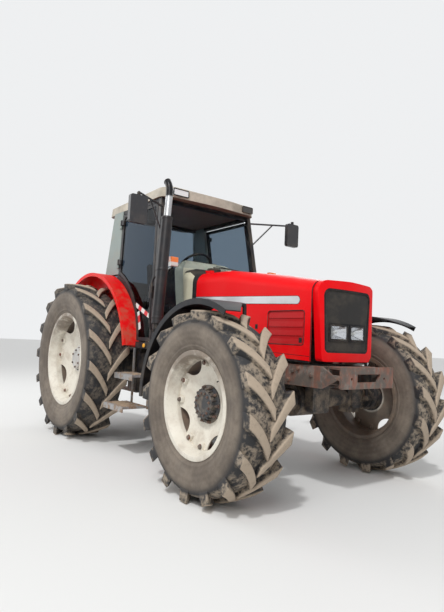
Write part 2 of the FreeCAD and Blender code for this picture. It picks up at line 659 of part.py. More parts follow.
def front_plate():
    """Front plate with its slot, on arrow-shaped side plates and two flat arms."""
    plate = prism_x([(-PLATE_HALF_W, PLATE_Z0, 8), (PLATE_HALF_W, PLATE_Z0, 8),
                     (PLATE_HALF_W, PLATE_Z1, 8), (-PLATE_HALF_W, PLATE_Z1, 8)],
                    PLATE_FRONT_X - PLATE_T, PLATE_FRONT_X)
    slot = prism_x([(-128, SLOT_Z0, 6), (108, SLOT_Z0, 6), (146, SLOT_Z1, 6), (-128, SLOT_Z1, 6)],
                   PLATE_FRONT_X - 50, PLATE_FRONT_X + 10)
    plate = plate.cut(slot)
    for y in (-BOLT_HOLE_Y, BOLT_HOLE_Y):
        plate = plate.cut(rod((PLATE_FRONT_X - 50, y, BOLT_HOLE_Z), (PLATE_FRONT_X + 10, y, BOLT_HOLE_Z),
                              BOLT_HOLE_R))
    arrow = prism_y([(ARROW_X0, RAIL_Z0, 0), (ARROW_X1, RAIL_Z0, 0), (ARROW_TIP_X, 887, 6),
                     (ARROW_X1, RAIL_Z1, 0), (ARROW_X0, RAIL_Z1, 0)], RAIL_Y1, RAIL_Y1 + PLATE_T)
    arms = []
    for low in (PLATE_Z0 + 6, PLATE_Z1 - 22):
        arms.append(prism_z([(FRAME_X1, 0, 0), (FRAME_X1, 225, 0),
                             (PLATE_FRONT_X - PLATE_T, 285, 0), (PLATE_FRONT_X - PLATE_T, 0, 0)],
                            low, low + 16))
    flange = box(FRAME_X1, FRAME_X1 + 14, 0, 225, PLATE_Z0 + 6, PLATE_Z1 - 6)
    half = fused(flange, *arms)
    middle_z = (PLATE_Z0 + PLATE_Z1) / 2
    side_arm = prism_z([(FRAME_X1, RAIL_Y1, 0), (PLATE_FRONT_X - PLATE_T, RAIL_Y1 - 14, 0),
                        (PLATE_FRONT_X - PLATE_T, RAIL_Y1 + 4, 0), (FRAME_X1, RAIL_Y1 + PLATE_T, 0)],
                       middle_z - 17, middle_z + 17)
    half = fused(half, arrow, side_arm)
    write("front_plate", fused(plate, half, mirrored(half)))


# Hood

HOOD_SECTIONS = [
    # x, top at the middle, corner height, half width, corner radius
    (HOOD_REAR_X, 1783.0, 1765.0, HOOD_HALF_W, 120.0),
    (HOOD_REAR_X + 0.285 * (HOOD_SEAM_X - HOOD_REAR_X), 1778.0, 1758.0, HOOD_HALF_W, 120.0),
    (HOOD_REAR_X + 0.621 * (HOOD_SEAM_X - HOOD_REAR_X), 1708.0, 1690.0, HOOD_HALF_W, 112.0),
    (HOOD_SEAM_X, 1612.0, 1600.0, HOOD_HALF_W - 4, 96.0),
]


def hood_bottom(x):
    """Lower edge of the hood, which falls towards the nose."""
    share = (x - HOOD_REAR_X) / (HOOD_SEAM_X - HOOD_REAR_X)
    return HOOD_BOTTOM_REAR_Z + share * (HOOD_BOTTOM_FRONT_Z - HOOD_BOTTOM_REAR_Z)


def hood_section(x, top, corner, half_w, radius, inset, bottom):
    """Arch across the hood, drawn in by inset."""
    half, crest, shoulder = half_w - inset, top - inset, corner - inset
    return rounded([(-half, bottom, 0), (half, bottom, 0), (half, shoulder, radius - inset),
                    (0, crest, 900), (-half, shoulder, radius - inset)], front(x))


def hood_solid(inset, bottom_drop):
    """Body of the hood, or of the space in it."""
    return loft([hood_section(x, top, corner, half, radius, inset, hood_bottom(x) - bottom_drop)
                 for x, top, corner, half, radius in HOOD_SECTIONS])


LOUVRE_X1 = HOOD_SEAM_X - 59.0
LOUVRE_X0 = LOUVRE_X1 - 399.0
LOUVRE_Z0 = 1112.0
LOUVRE_Z1 = 1377.0
LOUVRE_SLATS = 4
LOUVRE_OUT = 5.0              # lower edge of a slat over the floor of the recess


def louvre_outline():
    """Rounded opening in the hood's side."""
    return [(LOUVRE_X0, LOUVRE_Z0, 40), (LOUVRE_X1, LOUVRE_Z0, 40), (LOUVRE_X1, LOUVRE_Z1, 40),
            (LOUVRE_X0, LOUVRE_Z1, 40)]


def hood():
    """Hood shell with slats in its side recesses and the hinge straps at its rear."""
    shell = hood_solid(0, 0).cut(hood_solid(HOOD_WALL, 60))
    floor_y = HOOD_HALF_W - HOOD_WALL / 2
    recess = prism_y(louvre_outline(), floor_y, HOOD_HALF_W + 40)
    slats = []
    rise = (LOUVRE_Z1 - LOUVRE_Z0) / LOUVRE_SLATS
    for i in range(LOUVRE_SLATS):
        low = LOUVRE_Z0 + rise * i + 6
        slats.append(prism_x(square([(floor_y - 1, low), (floor_y + LOUVRE_OUT, low),
                                     (floor_y - 1, low + rise - 16)]), LOUVRE_X0 + 14, LOUVRE_X1 - 14))
    strap = fused(disc_y(HOOD_HINGE_X, HOOD_HINGE_Z, HOOD_PIN_R, HOOD_EAR_Y, 230),
                  box(HOOD_HINGE_X, HOOD_REAR_X + 60, 186, 225, HOOD_HINGE_Z - 24, HOOD_HINGE_Z + 4))
    for side in (lambda shape: shape, mirrored):
        shell = fused(shell.cut(side(recess)), side(strap), *[side(slat) for slat in slats])
    write("hood", shell)


NOSE_BOTTOM_Z = 1002.0
NOSE_TOP_Z = 1606.0
GRILLE_HALF_W = 278.0
GRILLE_Z0 = 1068.0
GRILLE_Z1 = 1545.0
NOSE_BOW = 32.0               # how far the front bows out
NOSE_CORNER_R = 36.0
NOSE_WALL = 16.0
GRILLE_BORDER = 16.0
LAMP_FRAME = 11.0
LAMP_Y0 = 16.0
LAMP_Y1 = 202.0
LAMP_Z0 = 1163.0
LAMP_Z1 = 1277.0


def nose_plan(inset, z0, z1):
    """Nose with its bowed front and rounded corners, drawn in by inset."""
    half = HOOD_HALF_W - 8
    bow_r = (half ** 2 + NOSE_BOW ** 2) / (2 * NOSE_BOW)
    middle_x = NOSE_X - bow_r
    corner_y = half - NOSE_CORNER_R
    corner_x = middle_x + math.sqrt((bow_r - NOSE_CORNER_R) ** 2 - corner_y ** 2)
    turn = math.atan2(corner_y, corner_x - middle_x)
    start = HOOD_SEAM_X + SEAM_GAP
    corner_r, front_r = NOSE_CORNER_R - inset, bow_r - inset

    def on_corner(angle, side):
        return V(corner_x + corner_r * math.cos(angle), side * (corner_y + corner_r * math.sin(angle)), z0)
    left = [on_corner(math.pi / 2, 1), on_corner((math.pi / 2 + turn) / 2, 1), on_corner(turn, 1)]
    right = [on_corner(turn, -1), on_corner((math.pi / 2 + turn) / 2, -1), on_corner(math.pi / 2, -1)]
    back_left, back_right = V(start, half - inset, z0), V(start, inset - half, z0)
    edges = [
        Part.LineSegment(back_left, left[0]).toShape(), Part.Arc(*left).toShape(),
        Part.Arc(left[2], V(middle_x + front_r, 0, z0), right[0]).toShape(), Part.Arc(*right).toShape(),
        Part.LineSegment(right[2], back_right).toShape(), Part.LineSegment(back_right, back_left).toShape(),
    ]
    return Part.Face(Part.Wire(edges)).extrude(V(0, 0, z1 - z0))


def nose_arch(inset):
    """Front outline of the nose: square below, rounded above, drawn in at the bottom corners."""
    half = HOOD_HALF_W - 8 - inset
    return [(-half + 60, NOSE_BOTTOM_Z + inset, 30), (half - 60, NOSE_BOTTOM_Z + inset, 30),
            (half, NOSE_BOTTOM_Z + 70 + inset, 60), (half, NOSE_TOP_Z - inset - 6, 92 - inset),
            (0, NOSE_TOP_Z - inset + 6, 900), (-half, NOSE_TOP_Z - inset - 6, 92 - inset)]


def grille_outline(inset):
    """Front outline of the grille, wider above, drawn in by inset."""
    low, high = GRILLE_HALF_W - 26 - inset, GRILLE_HALF_W - inset
    return [(-low, GRILLE_Z0 + inset, 40 - inset), (low, GRILLE_Z0 + inset, 40 - inset),
            (high, GRILLE_Z1 - inset, 60 - inset), (-high, GRILLE_Z1 - inset, 60 - inset)]


def lamp_outline(side, grow):
    """Front outline of one headlamp, made larger by grow."""
    y0, y1 = sorted((side * (LAMP_Y0 - grow), side * (LAMP_Y1 + grow)))
    return [(y0, LAMP_Z0 - grow, 12), (y1, LAMP_Z0 - grow, 12), (y1, LAMP_Z1 + grow, 12),
            (y0, LAMP_Z1 + grow, 12)]


def nose():
    """Nose frame, bowed grille with its border and lamp frames, and the two headlamps."""
    x0, x1 = HOOD_SEAM_X + SEAM_GAP, NOSE_X + 10
    low, high = NOSE_BOTTOM_Z - 100, NOSE_TOP_Z + 100
    outer = nose_plan(0, low, high).common(prism_x(nose_arch(0), x0, x1))
    inner = nose_plan(NOSE_WALL, low, high).common(prism_x(nose_arch(NOSE_WALL), x0, x1))
    opening = prism_x(grille_outline(0), x0 - 5, x1)
    write("nose", outer.cut(inner).cut(opening))
    panel = nose_plan(8, low, high).cut(nose_plan(14, low, high)).common(opening)
    border = nose_plan(2, low, high).cut(nose_plan(14, low, high)).common(
        opening.cut(prism_x(grille_outline(GRILLE_BORDER), x0 - 6, x1 + 1)))
    pieces, lamps = [border], []
    for side in (1, -1):
        lamp = prism_x(lamp_outline(side, 0), HOOD_SEAM_X + 12, x1).common(nose_plan(4, low, high))
        hole = prism_x(lamp_outline(side, SEAM_GAP), x0 - 6, x1 + 1)
        frame = prism_x(lamp_outline(side, LAMP_FRAME), HOOD_SEAM_X + 40, x1).common(nose_plan(2, low, high))
        pieces.append(frame.cut(hole))
        panel = panel.cut(hole)
        lamps.append(lamp)
    write("grille", fused(panel, *pieces))
    write("headlamps", Part.makeCompound(lamps))


# Cab

SIDE_SLOPE = (CAB_BOTTOM_Y - CAB_TOP_Y) / (CAB_TOP_Z - CAB_BOTTOM_Z)


def side_y(z):
    """Outer side of the cab wall at the height z."""
    return CAB_BOTTOM_Y - (z - CAB_BOTTOM_Z) * SIDE_SLOPE


def post_x(z):
    """Front edge of the cab at the height z."""
    share = (z - CAB_BOTTOM_Z) / (CAB_TOP_Z - CAB_BOTTOM_Z)
    return FRONT_POST_BOTTOM_X + share * (FRONT_POST_TOP_X - FRONT_POST_BOTTOM_X)


def wall_panel(outline, depth0, depth1):
    """Side outline (x, z, radius) as a panel in the left wall's leaning plane.

    depth0 and depth1 are measured inwards from the outer side.
    """
    lean = math.atan(SIDE_SLOPE)
    flat = prism_y([(x, (z - CAB_BOTTOM_Z) / math.cos(lean), r) for x, z, r in outline],
                   -depth1, -depth0)
    flat.rotate(V(0, 0, 0), V(1, 0, 0), math.degrees(lean))
    flat.translate(V(0, CAB_BOTTOM_Y, CAB_BOTTOM_Z))
    return flat


def post_outline(z0, z1, x0_low, x1_low, x0_high, x1_high):
    """Four corners of a post."""
    return square([(x0_low, z0), (x1_low, z0), (x1_high, z1), (x0_high, z1)])


def arch_x(radius, z):
    """x on a circle about the rear axle at the height z."""
    return math.sqrt(radius ** 2 - (z - REAR_AXLE_Z) ** 2)


REAR_POST_BACK_BOTTOM_X = 45.0
REAR_POST_BACK_TOP_X = 70.0
REAR_GLASS_Z = SHOULDER_Z - 38


def cab_frame():
    """Posts, sills, arch rails and roof rails, then floor and rear wall."""
    front_post = wall_panel(post_outline(CAB_BOTTOM_Z, CAB_TOP_Z,
                                         post_x(CAB_BOTTOM_Z) - FRONT_POST_W, post_x(CAB_BOTTOM_Z),
                                         post_x(CAB_TOP_Z) - FRONT_POST_W, post_x(CAB_TOP_Z)),
                            0, FRONT_POST_T)
    rear_post = wall_panel(post_outline(SHOULDER_Z, CAB_TOP_Z, REAR_POST_BACK_BOTTOM_X,
                                        REAR_POST_FRONT_X, REAR_POST_BACK_TOP_X, REAR_POST_TOP_X),
                           0, REAR_POST_T)
    for z in HINGE_HEIGHTS:
        low = z - HINGE_BARREL / 2 - RUN_CLEAR
        x, y = hinge_point(low)
        seat = rod((*hinge_point(low - 30), low - 30), (x, y, low), HINGE_R)
        leaf = box(x - 40, x, side_y(low) - 6, y, low - 28, low - 6)
        rear_post = fused(rear_post, seat, leaf)
    posts = Part.makeCompound([both(front_post), both(rear_post)])
    write("cab_posts", posts)

    sill_x0 = arch_x(DOOR_ARC_R - DOOR_GAP, CAB_BOTTOM_Z)
    sill = box(sill_x0 - 6, post_x(CAB_BOTTOM_Z) + 20, CAB_BOTTOM_Y - SILL_W, CAB_BOTTOM_Y,
               FLOOR_Z - FLOOR_T, CAB_BOTTOM_Z)
    top_rail = bar((REAR_POST_TOP_X, side_y(CAB_TOP_Z) - 26, CAB_TOP_Z - 20),
                   (post_x(CAB_TOP_Z) - FRONT_POST_W, side_y(CAB_TOP_Z) - 26, CAB_TOP_Z - 20), 40, 40)
    arch_start = math.degrees(math.asin((CAB_BOTTOM_Z - REAR_AXLE_Z) / (DOOR_ARC_R - DOOR_GAP)))
    arch_end = math.degrees(math.asin((SHOULDER_Z - REAR_AXLE_Z) / (DOOR_ARC_R - DOOR_GAP)))
    arch = arc_solid(0, REAR_AXLE_Z, FENDER_OUTER_R + RUN_CLEAR, DOOR_ARC_R - DOOR_GAP, arch_start, arch_end,
                     FENDER_INNER_Y - 46, FENDER_INNER_Y)
    write("cab_sills", both(fused(sill, arch).cut(front_post).cut(rear_post)))
    top_rail = top_rail.cut(front_post).cut(rear_post)
    front_y = CAB_TOP_Y - FRONT_POST_T - RUN_CLEAR
    rear_y = CAB_TOP_Y - REAR_POST_T - RUN_CLEAR
    front_header = box(post_x(CAB_TOP_Z) - 52, post_x(CAB_TOP_Z) - 12, -front_y, front_y,
                       CAB_TOP_Z - 40, CAB_TOP_Z)
    rear_header = box(REAR_POST_BACK_TOP_X + 4, REAR_POST_BACK_TOP_X + 44, -rear_y, rear_y,
                      CAB_TOP_Z - 40, CAB_TOP_Z)
    write("roof_rails", Part.makeCompound([top_rail, mirrored(top_rail), front_header, rear_header]))

    narrow, wide = FENDER_INNER_Y - 10, CAB_BOTTOM_Y - SILL_W
    floor_x0, floor_x1 = REAR_POST_BACK_BOTTOM_X, FRONT_POST_BOTTOM_X + 4
    floor = prism_z(square([(floor_x0, -narrow), (sill_x0 - 6, -narrow), (sill_x0 - 6, -wide),
                            (floor_x1, -wide), (floor_x1, wide), (sill_x0 - 6, wide),
                            (sill_x0 - 6, narrow), (floor_x0, narrow)]),
                    FLOOR_Z - FLOOR_T, FLOOR_Z)
    write("cab_floor", fused(floor, *floor_mounts()))
    wall_x = REAR_POST_BACK_BOTTOM_X
    rear_wall = prism_x(square([(-narrow, FLOOR_Z), (narrow, FLOOR_Z), (narrow, REAR_GLASS_Z),
                                (-narrow, REAR_GLASS_Z)]), wall_x, wall_x + 30)
    write("rear_wall", rear_wall)
    lean = (post_x(CAB_BOTTOM_Z) - post_x(CAB_TOP_Z)) / (CAB_TOP_Z - CAB_BOTTOM_Z)
    write_windscreen(lean)
    half_top = side_y(CAB_TOP_Z) - REAR_POST_T - RUN_CLEAR
    half_low = side_y(REAR_GLASS_Z) - REAR_POST_T - RUN_CLEAR
    glass = prism_x(square([(-half_low, REAR_GLASS_Z), (half_low, REAR_GLASS_Z),
                            (half_top, CAB_TOP_Z - RUN_CLEAR), (-half_top, CAB_TOP_Z - RUN_CLEAR)]),
                    REAR_POST_BACK_TOP_X - GLASS_T - RUN_CLEAR, REAR_POST_BACK_TOP_X - RUN_CLEAR)
    write("rear_window", glass)


COWL_HALF_W = 352.0
COWL_TOP_Z = 1835.0
SCREEN_BOTTOM_Z = FLOOR_Z + 2
SILL_W = 60.0


def write_windscreen(lean):
    """Front glass between the posts, with a notch for the cowl."""
    top_z, low_z = CAB_TOP_Z - 2, SCREEN_BOTTOM_Z
    top_y = side_y(top_z) - FRONT_POST_T - RUN_CLEAR
    low_y = side_y(CAB_BOTTOM_Z + 2) - FRONT_POST_T - RUN_CLEAR
    sill_y, sill_top = CAB_BOTTOM_Y - SILL_W - 1, CAB_BOTTOM_Z - low_z + 2
    notch_y, notch_top = COWL_HALF_W + 6, COWL_TOP_Z - low_z + 6
    half = [(notch_y, notch_top), (notch_y, 0), (sill_y, 0), (sill_y, sill_top), (low_y, sill_top),
            (top_y, top_z - low_z)]
    outline = half + [(-y, z) for y, z in reversed(half)]
    flat = prism_x(square(outline), -GLASS_T, 0)
    matrix = FreeCAD.Matrix()
    matrix.A13 = -lean
    glass = flat.transformGeometry(matrix)
    glass.translate(V(post_x(low_z) - 4, 0, low_z))
    write("windscreen", glass)


ROOF_OUTLINE = [
    # x, y, corner radius
    (-150.0, -560.0, 90.0), (1215.0, -612.0, 110.0), (1262.0, 0.0, 2400.0), (1215.0, 612.0, 110.0),
    (-150.0, 560.0, 90.0),
]
ROOF_SHELL_Z = CAB_TOP_Z + ROOF_EDGE_H
ROOF_CROWN_Z = 2700.0


def cab_roof():
    """Roof slab with its rim, and the lower crown on top."""
    slab = loft([rounded(ROOF_OUTLINE, plan(CAB_TOP_Z)),
                 rounded([(x + (6 if x < 0 else -4), y * 0.985, r) for x, y, r in ROOF_OUTLINE],
                         plan(ROOF_SHELL_Z))])
    def crown_outline(inset, step):
        """Outline of the crown, drawn in from the slab's corners."""
        rear, side = ROOF_OUTLINE[0], ROOF_OUTLINE[1]
        x0, y0 = rear[0] + inset, rear[1] + step
        x1, y1 = side[0] - inset, side[1] + step
        return [(x0, y0, 80), (x1, y1, 90), (x1, -y1, 90), (x0, -y0, 80)]

    crown = loft([rounded(crown_outline(12, 20), plan(ROOF_SHELL_Z)),
                  rounded(crown_outline(142, 136), plan(ROOF_CROWN_Z))])
    roof = fused(slab, crown)
    write("cab_roof", roof.cut(work_lamps()))


COWL_FRONT_X = HOOD_REAR_X - 12
COWL_STEP_X = COWL_FRONT_X - 138    # where the cowl reaches its full height
COWL_BACK_X = COWL_STEP_X - 130


def cowl_arch(half_w, crest, drop, radius):
    """Arch over the cowl, drop lower at its corners."""
    return [(-half_w, FLOOR_Z, 0), (half_w, FLOOR_Z, 0), (half_w, crest - drop, radius),
            (0, crest, 900), (-half_w, crest - drop, radius)]


def cowl():
    """Closing panel between the hood and the cab."""
    full = cowl_arch(COWL_HALF_W, COWL_TOP_Z, 10, 120)
    shell = loft([rounded(cowl_arch(COWL_HALF_W - 12, COWL_TOP_Z - 63, 20, 110), front(COWL_FRONT_X)),
                  rounded(full, front(COWL_STEP_X))])
    solid = fused(shell, prism_x(full, COWL_BACK_X, COWL_STEP_X))
    low, high, back = FLOOR_Z - 45, COWL_TOP_Z + 165, COWL_BACK_X - 315
    behind = prism_y(square([(back, low), (post_x(low) - 16, low), (post_x(high) - 16, high), (back, high)]),
                     -500, 500)
    room = box(COWL_BACK_X + 35, HOOD_REAR_X - 30, -COWL_HALF_W + 40, COWL_HALF_W - 40, low,
               COWL_TOP_Z - 175)
    solid = solid.cut(behind).cut(room)
    x, z = HOOD_HINGE_X, HOOD_HINGE_Z
    ear = prism_y([(x - 20, z - 50, 0), (x + 7, z - 50, 0), (x + 13, z, 0), (x + 13, z + 13, 8),
                   (x - 13, z + 13, 8)], HOOD_EAR_Y, HOOD_EAR_Y + 22)
    solid = fused(solid, ear, mirrored(ear))
    write("cowl", solid.cut(disc_y(x, z, HOOD_PIN_R + RUN_CLEAR, -300, 300)))


def door():
    """Left door: frame of bars along its outline, glass in it and the handle."""
    front_gap = DOOR_GAP + FRONT_POST_W
    z0, z1 = CAB_BOTTOM_Z + DOOR_GAP, CAB_TOP_Z - 40 - DOOR_GAP
    lean = math.atan(SIDE_SLOPE)

    def panel(inset, depth0, depth1):
        """Door outline drawn in by inset: three straight sides and the arc over the fender."""
        low_z, high_z = z0 + inset, z1 - inset
        arc_r = DOOR_ARC_R + inset
        start_x = arch_x(arc_r, low_z)
        shoulder_x = rear_edge_x(SHOULDER_Z) + inset
        shoulder_z = REAR_AXLE_Z + math.sqrt(arc_r ** 2 - shoulder_x ** 2)
        mid_turn = (math.atan2(low_z - REAR_AXLE_Z, start_x)
                    + math.atan2(shoulder_z - REAR_AXLE_Z, shoulder_x)) / 2
        mid = (arc_r * math.cos(mid_turn), REAR_AXLE_Z + arc_r * math.sin(mid_turn))

        def place(x, z):
            return V(x, -depth1, (z - CAB_BOTTOM_Z) / math.cos(lean))
        corners = [(start_x, low_z), (post_x(low_z) - front_gap - inset, low_z),
                   (post_x(high_z) - front_gap - inset, high_z),
                   (rear_edge_x(high_z) + inset, high_z), (shoulder_x, shoulder_z)]
        edges = [Part.LineSegment(place(*corners[i]), place(*corners[i + 1])).toShape()
                 for i in range(4)]
        edges.append(Part.Arc(place(*corners[4]), place(*mid), place(*corners[0])).toShape())
        flat = Part.Face(Part.Wire(edges)).extrude(V(0, depth1 - depth0, 0))
        flat.rotate(V(0, 0, 0), V(1, 0, 0), math.degrees(lean))
        flat.translate(V(0, CAB_BOTTOM_Y, CAB_BOTTOM_Z))
        return flat

    frame = panel(0, 0, DOOR_T).cut(panel(DOOR_BAR, -1, DOOR_T + 1))
    glass = panel(DOOR_BAR, 8, 8 + GLASS_T)
    return frame, glass


def rear_edge_x(z):
    """Rear edge of the door at the height z, ahead of the rear post."""
    share = (z - SHOULDER_Z) / (CAB_TOP_Z - SHOULDER_Z)
    return REAR_POST_FRONT_X + share * (REAR_POST_TOP_X - REAR_POST_FRONT_X) + DOOR_GAP + 4


def doors():
    """Both doors with their hinges and handles."""
    frame, glass = door()
    hinges = []
    for z in HINGE_HEIGHTS:
        x, y = hinge_point(z)
        low, high = z - HINGE_BARREL / 2, z + HINGE_BARREL / 2
        hinges.append(rod((*hinge_point(low), low), (*hinge_point(high), high), HINGE_R))
        hinges.append(box(x - 2, x + 60, side_y(z) - 4, y + 4, z - 24, z + 24))
    def bar_x(z):
        return post_x(z) - FRONT_POST_W - DOOR_GAP - DOOR_BAR / 2
    low, high = HANDLE_Z - HANDLE_H / 2, HANDLE_Z + HANDLE_H / 2
    handle = wall_panel(post_outline(low, high, bar_x(low) - 11, bar_x(low) + 11, bar_x(high) - 11,
                                     bar_x(high) + 11), -34, 2)
    door_frame = fused(frame, *hinges, handle)
    write("door_left", door_frame)
    write("door_right", mirrored(door_frame))
    write("door_glass_left", glass)
    write("door_glass_right", mirrored(glass))


HANDLE_Z = 1560.0
HANDLE_H = 120.0
HINGE_HEIGHTS = (1930.0, 2390.0)
HINGE_R = 11.0
HINGE_OUT = 14.0
HINGE_BARREL = 68.0


def hinge_point(z):
    """Place of the door's hinge line at the height z."""
    return rear_edge_x(z) - DOOR_GAP / 2 - 2, side_y(z) + HINGE_OUT


# Fenders, steps and tanks

def rear_fender():
    """Left rear fender: arch over the tyre with its outer lip and inner wall."""
    z = REAR_AXLE_Z
    start = math.degrees(math.asin((FLOOR_Z - 15 - z) / FENDER_OUTER_R))
    shell = arc_solid(0, z, FENDER_OUTER_R - FENDER_WALL, FENDER_OUTER_R, start, FENDER_END,
                      FENDER_INNER_Y, FENDER_OUTER_Y)
    lip = arc_solid(0, z, FENDER_OUTER_R - 40, FENDER_OUTER_R, start, FENDER_END,
                    FENDER_OUTER_Y - FENDER_WALL, FENDER_OUTER_Y)
    wall = arc_solid(0, z, 240, FENDER_OUTER_R, start, FENDER_END, FENDER_INNER_Y - 10,
                     FENDER_INNER_Y)
    wall = wall.cut(box(-1000, 1000, 0, 900, 0, 1010))
    post_cut = wall_panel(post_outline(SHOULDER_Z, CAB_TOP_Z, 0, 500, 0, 500), -60, 160)
    return fused(shell, lip, wall).cut(post_cut)


STEP_T = 22.0
STEP_BAR_Y = 700.0
STEP_TABLE = [
    # height, x0, x1, y0, y1
    (740.0, 960.0, 1330.0, 690.0, 900.0),
    (455.0, 940.0, 1340.0, 740.0, 985.0),
]
TANK_TABLE = [
    # y0, y1, z0, x0, x1, lower corner, upper corner
    (330.0, 640.0, 520.0, 900.0, 1480.0, 60.0, 50.0),
    (-640.0, -330.0, 560.0, 920.0, 1460.0, 30.0, 30.0),
]
TANK_TOP_Z = 960.0


def steps():
    """Treads hung between two flat side bars, on both sides."""
    pieces = []
    for z, x0, x1, y0, y1 in STEP_TABLE:
        pieces.append(box(x0, x1, y0, y1, z, z + STEP_T))
        pieces.append(box(x0, x1, y1 - 8, y1, z - 30, z))
    top, low = STEP_TABLE
    foot_z = low[0] - 15
    for x in (top[1] + 20, top[2] - 30):
        pieces.append(box(x - 14, x + 14, STEP_BAR_Y, STEP_BAR_Y + 12, foot_z, FLOOR_Z - FLOOR_T))
        pieces.append(box(x - 14, x + 14, STEP_BAR_Y, low[3] + 20, low[0], low[0] + 14))
    left = fused(*pieces)
    write("steps", both(left))


def tanks():
    """Fuel tank under the left of the cab and battery box under the right."""
    tanks = [prism_x([(y0, z0, low_r), (y1, z0, low_r), (y1, TANK_TOP_Z, high_r), (y0, TANK_TOP_Z, high_r)],
                     x0, x1) for y0, y1, z0, x0, x1, low_r, high_r in TANK_TABLE]
    write("side_tanks", Part.makeCompound(tanks))


def floor_mounts():
    """Cross bars over the tanks and rubber mounts on the gearbox, both under the floor."""
    under = FLOOR_Z - FLOOR_T + 5
    pieces = []
    for x in (TRANSFER_X0 + 100, TRANSFER_X0 + 440):
        left = box(x, x + 40, GEARBOX_HALF_W + 20, 640, TANK_TOP_Z, under)
        pieces += [left, mirrored(left)]
    for x in (GEARBOX_X0 + 120, TRANSFER_X1 - 60):
        for y in (120, -120):
            pieces.append(Part.makeCylinder(42, under - GEARBOX_TOP_Z, V(x, y, GEARBOX_TOP_Z)))
    return pieces


# Exhaust, lamps, mirrors

EXHAUST_LOW = (HOOD_REAR_X + 55, -800.0, 1190.0)
EXHAUST_HIGH = (HOOD_REAR_X - 19, -706.0, 2250.0)
SLEEVE_START = 0.05           # sleeve's lower end, as a share of the straight pipe
SLEEVE_R = 53.0
PIPE_R = 34.0
TIP_BEND_R = 150.0


def along(start, end, share):
    """Point a share of the way from start to end."""
    return tuple(a + (b - a) * share for a, b in zip(start, end))


def exhaust():
    """Black sleeve on its bracket, bright pipe in it and the curved tip."""
    sleeve = rod(along(EXHAUST_LOW, EXHAUST_HIGH, SLEEVE_START), EXHAUST_HIGH, SLEEVE_R)
    sleeve = sleeve.cut(rod(EXHAUST_LOW, EXHAUST_HIGH, PIPE_R + RUN_CLEAR))
    bracket_z = 1300.0
    bracket = bar(along(EXHAUST_LOW, EXHAUST_HIGH, 0.12),
                  (post_x(bracket_z) - 10, 20 - side_y(bracket_z), bracket_z), 60, 10)
    bracket = bracket.cut(rod(EXHAUST_LOW, EXHAUST_HIGH, SLEEVE_R - 1)).cut(mirrored(post_room()))
    write("exhaust_sleeve", fused(sleeve, bracket))
    top = along(EXHAUST_LOW, EXHAUST_HIGH, 1.235)
    bends = [EXHAUST_LOW, (ENGINE_X0 - 30, -560.0, 1000.0), (ENGINE_X0 + 70, -200.0, 990.0)]
    pieces = [rod(EXHAUST_LOW, top, PIPE_R)]
    for start, end in zip(bends, bends[1:]):
        pieces += [Part.makeSphere(PIPE_R, V(*start)), rod(start, end, PIPE_R)]
    ring = Part.Wire(Part.makeCircle(PIPE_R, V(*top), V(*top) - V(*EXHAUST_LOW)))
    pieces.append(Part.Face(ring).revolve(V(top[0] - TIP_BEND_R, top[1], top[2]), V(0, 1, 0), -48))
    write("exhaust_pipe", fused(*pieces).cut(engine_room()))


def post_room():
    """Space behind the front edge of the left front post."""
    return wall_panel(post_outline(CAB_BOTTOM_Z, CAB_TOP_Z, 900, post_x(CAB_BOTTOM_Z), 900,
                                   post_x(CAB_TOP_Z)), 0, 300)


MIRROR_X = HOOD_REAR_X - 65
MIRROR_Y = 990.0


def mirrors():
    """Mirror cases on tube arms from the front posts."""
    table = [
        # side, case height, arm height at the post, brace
        (1, 2360.0, 2470.0),
        (-1, 2280.0, 2440.0),
    ]
    pieces = []
    for sign, case_z, arm_z in table:
        x_post = post_x(arm_z) - 10
        start = (x_post, sign * (side_y(arm_z) - 20), arm_z)
        knee = (MIRROR_X, sign * MIRROR_Y, arm_z)
        foot = (MIRROR_X, sign * MIRROR_Y, case_z)
        arm = fused(rod(start, knee, 10), rod(knee, foot, 10), Part.makeSphere(10, V(*knee)))
        brace_z = arm_z - 260
        brace_start = (post_x(brace_z) - 10, sign * (side_y(brace_z) - 20), brace_z)
        arm = fused(arm, rod(brace_start, along(start, knee, 0.55), 8))
        y0, y1 = sign * MIRROR_Y - 88, sign * MIRROR_Y + 88
        case = prism_x([(y0, case_z - 130, 24), (y1, case_z - 130, 24), (y1, case_z + 130, 24),
                        (y0, case_z + 130, 24)], MIRROR_X - 25, MIRROR_X + 20)
        pieces.append(fused(arm, case))
    for shape in (post_room(), mirrored(post_room())):
        pieces = [piece.cut(shape) for piece in pieces]
    write("mirrors", Part.makeCompound(pieces))


ROOF_LAMP_X = ROOF_OUTLINE[1][0] + 32
ROOF_LAMP_T = 77.0
ROOF_LAMPS = [
    # y0, y1, height over the cab's top edge, of the left and of the right lamp
    (395.0, 535.0, 18.0, 84.0),
    (-510.0, -330.0, 20.0, 86.0),
]
SIGNAL_X = HOOD_REAR_X + 5
SIGNAL_Y = 630.0
SIGNAL_Z = 1790.0


def work_lamps():
    """Work lamps, set into the front edge of the roof."""
    return Part.makeCompound([
        prism_x([(y0, CAB_TOP_Z + low, 10), (y1, CAB_TOP_Z + low, 10), (y1, CAB_TOP_Z + high, 10),
                 (y0, CAB_TOP_Z + high, 10)], ROOF_LAMP_X - ROOF_LAMP_T, ROOF_LAMP_X)
        for y0, y1, low, high in ROOF_LAMPS])


